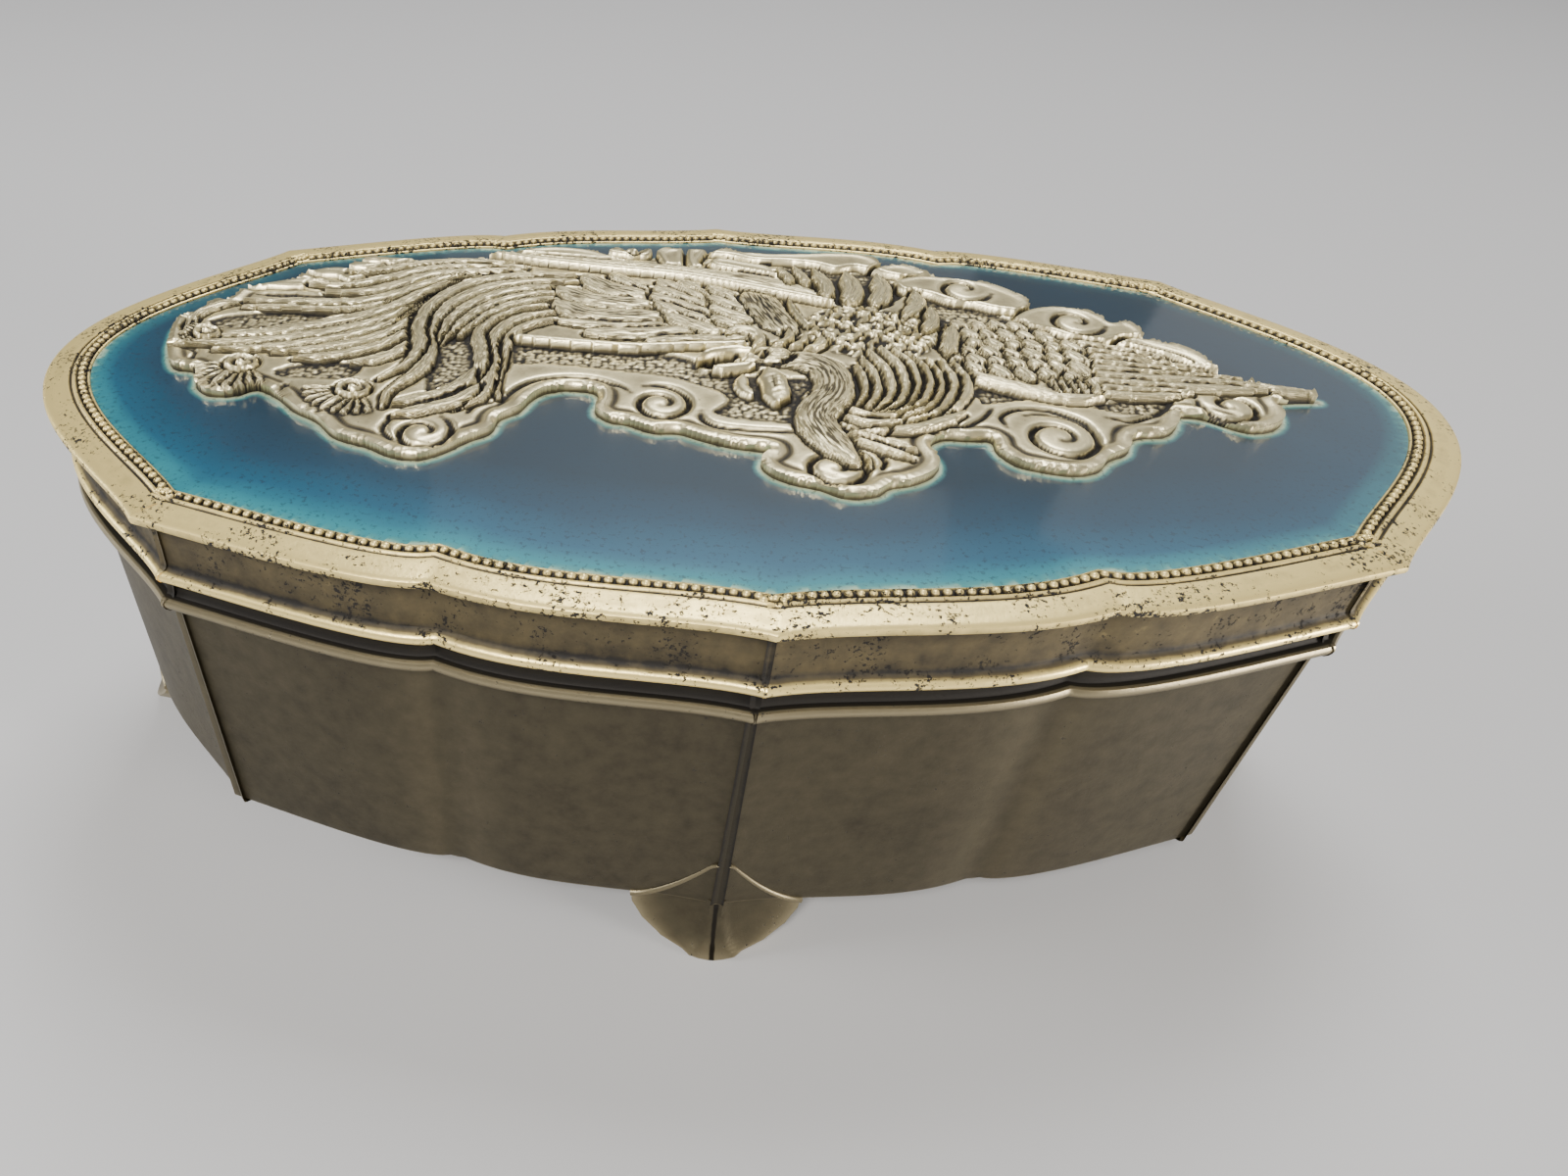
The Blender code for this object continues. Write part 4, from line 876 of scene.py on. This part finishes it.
# %% Build a height field
def field_mesh(name, xs, ys, heights, keep, border, base, attributes, drop, lean):
    """A grid lifted to heights, trimmed to keep, its rim pulled onto border, closed below.

    The relief was drawn level with its flat parts, so what swells above them leans forward.
    """
    bm = bmesh.new()
    bmesh.ops.create_grid(bm, x_segments=xs.size - 1, y_segments=ys.size - 1, size=0.5)
    bm.verts.ensure_lookup_table()
    layers = {key: bm.verts.layers.float.new(key) for key in attributes}
    cols = [round((v.co.x + 0.5) * (xs.size - 1)) for v in bm.verts]
    rows = [round((v.co.y + 0.5) * (ys.size - 1)) for v in bm.verts]
    for v, i, j in zip(bm.verts, cols, rows):
        v.co = (xs[i], ys[j] - lean[j, i], heights[j, i])
        for key, layer in layers.items():
            v[layer] = attributes[key][j, i]
    away = [v for v, i, j in zip(bm.verts, cols, rows) if not keep[j, i]]
    bmesh.ops.delete(bm, geom=away, context="VERTS")
    for _ in range(2):
        loose = [v for v in bm.verts if len(v.link_faces) <= 1]
        bmesh.ops.delete(bm, geom=loose, context="VERTS")
    rim = [v for v in bm.verts if v.is_boundary]
    a, ab = border, np.roll(border, -1, axis=0) - border
    for v in rim:
        p = np.array(v.co.xy)
        t = np.clip(((p - a) * ab).sum(1) / np.maximum((ab ** 2).sum(1), 1e-9), 0, 1)
        foot = a + ab * t[:, None]
        nearest = foot[np.argmin(((foot - p) ** 2).sum(1))]
        v.co.x, v.co.y = nearest
    rim_edges = [e for e in bm.edges if e.is_boundary]
    made = bmesh.ops.extrude_edge_only(bm, edges=rim_edges)["geom"]
    for v in (g for g in made if isinstance(g, bmesh.types.BMVert)):
        v.co.z = base
        for key in drop:
            v[layers[key]] = drop[key]
    bmesh.ops.holes_fill(bm, edges=[e for e in bm.edges if e.is_boundary])
    bmesh.ops.transform(bm, matrix=Matrix.Scale(MM, 4), verts=bm.verts)
    bmesh.ops.recalc_face_normals(bm, faces=bm.faces)
    ob = finish_mesh(name, bm, 55)
    print(name, "faces:", len(ob.data.polygons))
    return ob


trim, sink, dirty_foot = 0.1, 0.15, -0.1
lean_forward = 2.0 * swell * np.clip(edge_gap / 5, 0, 1)
bird = field_mesh(
    "relief_bird_and_clouds", grid_x[0] + relief_centre[0], grid_y[:, 0] + relief_centre[1],
    field + height_map, within & (edge_gap > trim), edge_line + relief_centre, field - sink,
    {"rubbed": rubbed_map, **marks}, {"rubbed": dirty_foot, "plume": 0.0}, lean_forward,
)
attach(bird, "root")

# %% [markdown]
# ## The enamel
# The enamel was run in while soft, so it lies level, creeps a little up every metal edge, and
# is thinnest there. Thin enamel lets the metal show through and looks pale. So each point
# stores its distance from the nearest metal, and the colour follows it.

# %% Enamel field
enamel_line = inset(5.62)
pool_pitch, pool_trim, pool_sink = 0.5, 0.25, 0.2
pool_rise, creep, creep_reach, rim_foot = 0.04, 0.1, 0.5, 0.35
pool_low, pool_high = enamel_line.min(0), enamel_line.max(0)
pool_x, pool_y = np.meshgrid(np.arange(pool_low[0], pool_high[0] + pool_pitch, pool_pitch),
                             np.arange(pool_low[1], pool_high[1] + pool_pitch, pool_pitch))
half_line = enamel_line[::2]
to_rim = measure(np.vstack([half_line, half_line[:1]]), pool_x, pool_y)[0]
to_bird = measure(edge_line[::2] + relief_centre, pool_x, pool_y)[0]
under_bird = inside_line(edge_line + relief_centre, pool_x, pool_y)
to_metal = np.minimum(np.maximum(to_rim - rim_foot, 0), np.where(under_bird, 0, to_bird))
pool_height = field + pool_rise + creep * np.exp(-to_metal / creep_reach)
pool = field_mesh(
    "enamel_field", pool_x[0], pool_y[:, 0], pool_height,
    inside_line(enamel_line, pool_x, pool_y) & (to_rim > pool_trim), enamel_line, field - pool_sink,
    {"shore": to_metal, "rim_gap": to_rim}, {"shore": 0.0, "rim_gap": 0.0}, np.zeros(pool_x.shape),
)
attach(pool, "root")

# %% [markdown]
# ## The feet
# Each foot is a pointed bracket folded along the ridge above it. It springs from the wall,
# flares outwards and ends in a blunt tip. A raised rib runs from each upper corner and
# sweeps up the wall to the ridge. A grid bent to the wall gives the two faces, and a
# thickness closes them.

# %% Bend a grid into a foot
foot_half, foot_flare, foot_thickness = 11.2, 3.0, 2.4
foot_tuck, foot_point, fold_reach = 0.9, 0.35, 0.9
front_side, end_side = 20, 55
places = (("front", True, False), ("back", True, True), ("right", False, False), ("left", False, True))
foot_shares = (0.0, 0.1, 0.3, 0.55, 0.8, 1.0)
foot_halves = (0.4, 3.0, 6.8, 9.5, 10.9, foot_half)


def wall_depth(across, along_y, distance):
    """How far out the wall stands at a place along it, for the front or for an end."""
    line = inset(distance)
    k = 0 if along_y else 1
    side = line[line[:, 1 - k] > (front_side if along_y else end_side)]
    order = np.argsort(side[:, k])
    return np.interp(across, side[order, k], side[order, 1 - k])


def set_on_body(bm, turn_half):
    """Turn a piece to the far side where asked, and move it along with the body."""
    if turn_half:
        bmesh.ops.rotate(bm, verts=bm.verts, matrix=Matrix.Rotation(math.pi, 3, "Z"))
    bmesh.ops.translate(bm, verts=bm.verts, vec=(body_shift * MM, 0, 0))
    bmesh.ops.recalc_face_normals(bm, faces=bm.faces)


def make_foot(name, front, turn_half):
    bm = bmesh.new()
    rubbed = bm.verts.layers.float.new("rubbed")
    ridge = bm.verts.layers.float.new("ridge")
    bmesh.ops.create_grid(bm, x_segments=28, y_segments=20, size=1.0)
    for v in bm.verts:
        across, share = v.co.x, (v.co.y + 1) / 2
        half = np.interp(share, foot_shares, foot_halves)
        z = foot_height * share - foot_point * (1 - share) * across ** 2
        z = max(z, 0.0) + foot_tuck * (share > 0.999)
        place = across * half
        out = wall_depth(place * share ** 0.5, front, wall_low + 0.15) + foot_flare * (1 - share) ** 1.6
        v[rubbed] = 0.42 + 0.5 * max(abs(across), 1 - share) ** 6
        v[ridge] = max(0.0, 1 - abs(place) / fold_reach)
        v.co = (place * MM, -out * MM, z * MM) if front else (out * MM, place * MM, z * MM)
    bmesh.ops.recalc_face_normals(bm, faces=bm.faces)
    middle = sum((f.normal for f in bm.faces), Vector())
    if middle.dot(Vector((0, -1, 0)) if front else Vector((1, 0, 0))) < 0:
        bmesh.ops.reverse_faces(bm, faces=bm.faces)
    bmesh.ops.solidify(bm, geom=bm.faces[:], thickness=foot_thickness * MM)
    for v in bm.verts:
        v.co.z = max(v.co.z, 0.0)
    set_on_body(bm, turn_half)
    return finish_mesh(name, bm, 40)


feet = [make_foot(f"foot_{place}", front, turned_half) for place, front, turned_half in places]
for foot in feet:
    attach(foot, "root")
print("feet stand at", round(min(v.co.z for v in feet[0].data.vertices) / MM, 2), "mm")

# %% Ribs that sweep up the wall from each foot
rib_steps, rib_radius, rib_sink, rib_rub = 26, 0.5, 0.12, 0.72
rib_climb, rib_bend, rib_run, wall_rise = 9.2, 1.75, 0.93, 38.0


def make_rib(name, front, turn_half, side):
    """A thin raised rib on the wall, from a corner of the foot up to the ridge."""
    curve = bpy.data.curves.new(name, "CURVE")
    curve.dimensions, curve.bevel_depth, curve.bevel_resolution = "3D", rib_radius * MM, 3
    curve.use_fill_caps = True
    spline = curve.splines.new("POLY")
    spline.points.add(rib_steps - 1)
    for i, point in enumerate(spline.points):
        t = i / (rib_steps - 1)
        across = side * foot_half * (1 - rib_run * t)
        z = foot_height - 0.1 + rib_climb * t ** rib_bend
        distance = wall_low + (wall_high - wall_low) * (z - foot_height) / wall_rise
        out = wall_depth(across, front, distance) - rib_sink
        point.co = (across * MM, -out * MM, z * MM, 1) if front else (out * MM, across * MM, z * MM, 1)
        point.radius = 1.1 - 0.6 * t
    rough = bpy.data.objects.new(name + "_curve", curve)
    bpy.context.scene.collection.objects.link(rough)
    data = bpy.data.meshes.new_from_object(rough.evaluated_get(bpy.context.evaluated_depsgraph_get()))
    bpy.data.objects.remove(rough, do_unlink=True)
    bm = bmesh.new()
    bm.from_mesh(data)
    bpy.data.meshes.remove(data)
    rubbed = bm.verts.layers.float.new("rubbed")
    for v in bm.verts:
        v[rubbed] = rib_rub
    set_on_body(bm, turn_half)
    return finish_mesh(name, bm, 50)


ribs = [make_rib(f"rib_{place}_{'left' if side < 0 else 'right'}", front, turned_half, side)
        for place, front, turned_half in places for side in (-1, 1)]
for rib in ribs:
    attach(rib, "root")
print("ribs:", len(ribs))

# %% [markdown]
# ## Aged metal
# All the metal here is one alloy in different states: bright where it is handled, dull and
# brown on the walls, black in the grooves, with pits where it has corroded. The walls' colours
# are also set darker as painted shade. One node group makes all of them. It reads the stored
# rub, which on the walls also holds a painted highlight and shade, breaks it up with noise so
# that no border is clean, and adds pits in drifts.

# %% Helpers for node trees
def node(tree, kind, settings=None, **inputs):
    """A node with some settings, whose inputs are numbers, colours or other nodes' sockets."""
    made = tree.nodes.new(kind)
    for key, value in (settings or {}).items():
        setattr(made, key, value)
    for key, value in inputs.items():
        name = key.replace("_", " ")
        numbered = name[0] == "i" and name[1:].isdigit()
        socket = made.inputs[int(name[1:])] if numbered else made.inputs[name]
        if isinstance(value, bpy.types.NodeSocket):
            tree.links.new(value, socket)
        else:
            socket.default_value = value
    return made


def maths(tree, operation, a, b):
    return node(tree, "ShaderNodeMath", {"operation": operation}, i0=a, i1=b).outputs[0]


def plus(tree, a, b):
    return maths(tree, "ADD", a, b)


def minus(tree, a, b):
    return maths(tree, "SUBTRACT", a, b)


def times(tree, a, b):
    return maths(tree, "MULTIPLY", a, b)


def remap(tree, value, low_in, high_in, low_out=0.0, high_out=1.0):
    return node(tree, "ShaderNodeMapRange", {"clamp": True}, Value=value, From_Min=low_in, From_Max=high_in,
                To_Min=low_out, To_Max=high_out).outputs["Result"]


def blend(tree, share, first, second):
    """Mix two colours by a share."""
    made = node(tree, "ShaderNodeMix", {"data_type": "RGBA"})
    for socket, value in ((made.inputs[0], share), (made.inputs[6], first), (made.inputs[7], second)):
        if isinstance(value, bpy.types.NodeSocket):
            tree.links.new(value, socket)
        else:
            socket.default_value = value
    return made.outputs[2]


def noise(tree, place, scale, detail=4.0, rough=0.55):
    made = node(tree, "ShaderNodeTexNoise", Vector=place, Scale=scale, Detail=detail, Roughness=rough)
    return made.outputs["Fac"]


# %% Node group for the aged metal
aged = bpy.data.node_groups.new("Aged metal", "ShaderNodeTree")
for name, kind, value in (
    ("Rubbed", "NodeSocketFloat", 0.5), ("Bright", "NodeSocketColor", (0.85, 0.8, 0.66, 1)),
    ("Dull", "NodeSocketColor", (0.3, 0.26, 0.18, 1)),
    ("Dirt", "NodeSocketColor", (0.02, 0.016, 0.012, 1)),
    ("Pits", "NodeSocketFloat", 0.5), ("Unevenness", "NodeSocketFloat", 0.3),
    ("Metal", "NodeSocketFloat", 0.95),
):
    socket = aged.interface.new_socket(name, in_out="INPUT", socket_type=kind)
    socket.default_value = value
for name, kind in (("Color", "NodeSocketColor"), ("Roughness", "NodeSocketFloat"),
                   ("Metallic", "NodeSocketFloat"), ("Height", "NodeSocketFloat")):
    aged.interface.new_socket(name, in_out="OUTPUT", socket_type=kind)

inside = aged.nodes.new("NodeGroupInput").outputs
outside = aged.nodes.new("NodeGroupOutput")
place = node(aged, "ShaderNodeTexCoord").outputs["Object"]
drifts = noise(aged, place, 55.0, 3.0)
mottle = noise(aged, place, 420.0, 6.0, 0.6)
grit = noise(aged, place, 2600.0, 3.0)
uneven = plus(aged, minus(aged, mottle, 0.5), times(aged, minus(aged, drifts, 0.5), 0.5))
# The stored rub, with the painted highlight and shade on the walls in it, broken up by noise.
wear_and_light_level = plus(aged, inside["Rubbed"], times(aged, uneven, times(aged, inside["Unevenness"], 2.0)))
tone = blend(aged, remap(aged, wear_and_light_level, 0.05, 0.42), inside["Dirt"], inside["Dull"])
tone = blend(aged, remap(aged, wear_and_light_level, 0.38, 0.85), tone, inside["Bright"])

# %% Pits and flakes, most of them along the half worn edges
flakes = noise(aged, place, 1800.0, 5.0, 0.7)
pit_drift = remap(aged, noise(aged, place, 170.0, 3.0), 0.32, 0.62)
pit_edge = times(aged, remap(aged, inside["Rubbed"], 0.85, 0.62, 0.0, 0.05),
                 remap(aged, inside["Rubbed"], 0.45, 0.6))
pit_share = times(aged, inside["Pits"], plus(aged, times(aged, pit_drift, 0.16), pit_edge))
pits = remap(aged, minus(aged, flakes, minus(aged, 0.72, pit_share)), 0.0, 0.03)
unpitted = minus(aged, 1.0, pits)
sheen = plus(aged, remap(aged, wear_and_light_level, 0.1, 0.95, 0.62, 0.3), times(aged, grit, 0.12))
bare = times(aged, remap(aged, wear_and_light_level, 0.1, 0.6, 0.37, 1.0), inside["Metal"])
relief_of_wear = plus(aged, times(aged, mottle, 0.5), times(aged, grit, 0.25))
for name, value in (("Color", blend(aged, pits, tone, inside["Dirt"])),
                    ("Roughness", plus(aged, sheen, times(aged, pits, 0.3))),
                    ("Metallic", times(aged, bare, unpitted)),
                    ("Height", minus(aged, relief_of_wear, pits))):
    aged.links.new(value, outside.inputs[name])
print("aged metal nodes:", len(aged.nodes))

# %% [markdown]
# ## Finishes
# Each metal finish is the group with its own colours. The walls are dull and brown with soft
# specks, and their colours are set darker still as painted shade, in place of a dark floor for
# them to mirror. The lid's rim is warm and bright with black flakes, and the relief is brightest.
# A thin black line runs down the front and back ridges of the body, where the mould's halves
# met.

# %% Node group for fine feather lines
barbs = bpy.data.node_groups.new("Feather lines", "ShaderNodeTree")
for name, in_out in (("Along", "INPUT"), ("Across", "INPUT"), ("Plume", "INPUT"), ("Line", "OUTPUT")):
    barbs.interface.new_socket(name, in_out=in_out, socket_type="NodeSocketFloat")
given = barbs.nodes.new("NodeGroupInput").outputs
shown = barbs.nodes.new("NodeGroupOutput")
run = node(barbs, "ShaderNodeCombineXYZ", X=times(barbs, given["Across"], 3.0),
           Y=times(barbs, given["Along"], 0.4)).outputs[0]
streak = remap(barbs, noise(barbs, run, 1.0, 2.0, 0.5), 0.40, 0.56)
line = times(barbs, minus(barbs, 1.0, streak), maths(barbs, "MINIMUM", given["Plume"], 1.0))
barbs.links.new(line, shown.inputs["Line"])
print("feather line nodes:", len(barbs.nodes))


# %% Metal finishes
black_dirt = (0.010, 0.008, 0.006, 1)
pit_depth = 0.12


def attribute(tree, name):
    return node(tree, "ShaderNodeAttribute", {"attribute_name": name}).outputs["Fac"]


def metal_finish(name, bright, dull, pit_share, unevenness, bump, metal=0.95, seam=0.0, feathers=0.0):
    look = bpy.data.materials.new(name)
    look.use_nodes = True
    tree = look.node_tree
    shader = tree.nodes["Principled BSDF"]
    # The stored rub, which on the walls holds a painted highlight and shade as well as wear.
    rub = attribute(tree, "rubbed")
    if feathers:
        line = node(tree, "ShaderNodeGroup", {"node_tree": barbs}, Along=attribute(tree, "along"),
                    Across=attribute(tree, "across"), Plume=attribute(tree, "plume")).outputs["Line"]
        rub = minus(tree, rub, times(tree, line, feathers))
    group = node(tree, "ShaderNodeGroup", {"node_tree": aged}, Rubbed=rub, Bright=bright, Dull=dull,
                 Dirt=black_dirt, Pits=pit_share, Unevenness=unevenness, Metal=metal)
    colour, height = group.outputs["Color"], group.outputs["Height"]
    if feathers:
        height = minus(tree, height, times(tree, line, 1.6))
    if seam:
        spot_place = node(tree, "ShaderNodeTexCoord").outputs["Object"]
        broken = plus(tree, attribute(tree, "ridge"), times(tree, noise(tree, spot_place, 500.0), 0.5))
        colour = blend(tree, times(tree, remap(tree, broken, 0.78, 1.0), seam), colour, black_dirt)
    tree.links.new(colour, shader.inputs["Base Color"])
    tree.links.new(group.outputs["Roughness"], shader.inputs["Roughness"])
    tree.links.new(group.outputs["Metallic"], shader.inputs["Metallic"])
    dent = node(tree, "ShaderNodeBump", Strength=bump, Distance=pit_depth * MM, Height=height)
    tree.links.new(dent.outputs["Normal"], shader.inputs["Normal"])
    return look


relief_metal = metal_finish("worn relief metal", (0.97, 0.86, 0.52, 1), (0.17, 0.143, 0.080, 1),
                            0.4, 0.2, 0.8, feathers=0.5)
rim_metal = metal_finish("worn rim metal", (0.98, 0.78, 0.31, 1), (0.13, 0.102, 0.050, 1),
                         1.2, 0.25, 0.7, metal=0.62)
# The wall colours are partly dull tarnish and partly painted shade, darker to stand in for a dark floor to
# mirror.
wall_metal_with_painted_shade = metal_finish("dull wall metal with painted shade", (0.34, 0.29, 0.18, 1), (0.046, 0.039, 0.024, 1),
                          0.6, 0.06, 0.5, seam=0.95)
for piece, look in ((bird, relief_metal), (beads, rim_metal), (lid, rim_metal), (body, wall_metal_with_painted_shade),
                    *((foot, wall_metal_with_painted_shade) for foot in feet), *((rib, wall_metal_with_painted_shade) for rib in ribs)):
    piece.data.materials.append(look)
print("metal finishes:", relief_metal.name, rim_metal.name, wall_metal_with_painted_shade.name)

# %% [markdown]
# ## The enamel's colour
# Close to the metal the enamel goes from dirt in the corner to cream and turquoise within a
# millimetre and a half, and along the rim the turquoise reaches some three millimetres.
# Farther out its depth decides: light blue in front by the rim, dark teal by the bird and at
# the back. A clear coat gives the glassy shine, and fine
# grains stand for the specks in the glaze.

# %% Enamel finish
enamel = bpy.data.materials.new("blue enamel")
enamel.use_nodes = True
tree = enamel.node_tree
shader = tree.nodes["Principled BSDF"]
place = node(tree, "ShaderNodeTexCoord").outputs["Object"]
apart = node(tree, "ShaderNodeSeparateXYZ", Vector=place).outputs
frontness = remap(tree, minus(tree, apart["Y"], times(tree, apart["X"], -0.15)), 0.03, -0.035)
near_rim = remap(tree, attribute(tree, "rim_gap"), 18.0, 0.5)
drift = times(tree, minus(tree, noise(tree, place, 40.0, 3.0), 0.5), 0.5)
thin = plus(tree, times(tree, frontness, near_rim), drift)
depth_ramp = node(tree, "ShaderNodeValToRGB", Fac=thin).outputs["Color"]


def set_ramp(colour_socket, stops):
    """Give a colour ramp its stops, as pairs of a position and a colour."""
    ramp = colour_socket.node.color_ramp
    for element, (at, colour) in zip(ramp.elements, (stops[0], stops[-1])):
        element.position, element.color = at, (*colour, 1)
    for at, colour in stops[1:-1]:
        ramp.elements.new(at).color = (*colour, 1)


set_ramp(depth_ramp, ((0.0, (0.003, 0.022, 0.042)), (0.4, (0.004, 0.040, 0.078)),
                      (0.75, (0.006, 0.080, 0.145)), (1.0, (0.014, 0.180, 0.240))))
ragged = plus(tree, attribute(tree, "shore"), times(tree, minus(tree, noise(tree, place, 420.0), 0.5), 0.5))
shore_ramp = node(tree, "ShaderNodeValToRGB", Fac=remap(tree, ragged, 0.0, 1.4)).outputs["Color"]
set_ramp(shore_ramp, ((0.0, (0.08, 0.07, 0.04)), (0.1, (0.42, 0.44, 0.27)), (0.25, (0.34, 0.50, 0.36)),
                      (0.5, (0.07, 0.27, 0.25)), (1.0, (0.015, 0.12, 0.16))))
by_rim = times(tree, remap(tree, attribute(tree, "rim_gap"), 3.2, 0.8, 0.0, 0.6),
               remap(tree, frontness, 0.0, 1.0, 0.25, 1.0))
depth_colour = blend(tree, by_rim, depth_ramp, (0.022, 0.26, 0.29, 1))
colour = blend(tree, remap(tree, ragged, 0.4, 1.2), shore_ramp, depth_colour)
speck = remap(tree, noise(tree, place, 1500.0, 3.0, 0.7), 0.56, 0.63, 0.0, 0.55)
colour = blend(tree, speck, colour, (0.003, 0.015, 0.03, 1))
tree.links.new(colour, shader.inputs["Base Color"])
for name, value in (("Roughness", 0.4), ("Coat Weight", 1.0), ("Coat Roughness", 0.07), ("Coat IOR", 1.55)):
    shader.inputs[name].default_value = value
ripple = plus(tree, noise(tree, place, 60.0, 2.0), times(tree, noise(tree, place, 900.0, 2.0), 0.03))
dent = node(tree, "ShaderNodeBump", Strength=0.3, Distance=0.2 * MM, Height=ripple)
tree.links.new(dent.outputs["Normal"], shader.inputs["Normal"])
tree.links.new(dent.outputs["Normal"], shader.inputs["Coat Normal"])
pool.data.materials.append(enamel)
print("enamel nodes:", len(tree.nodes))
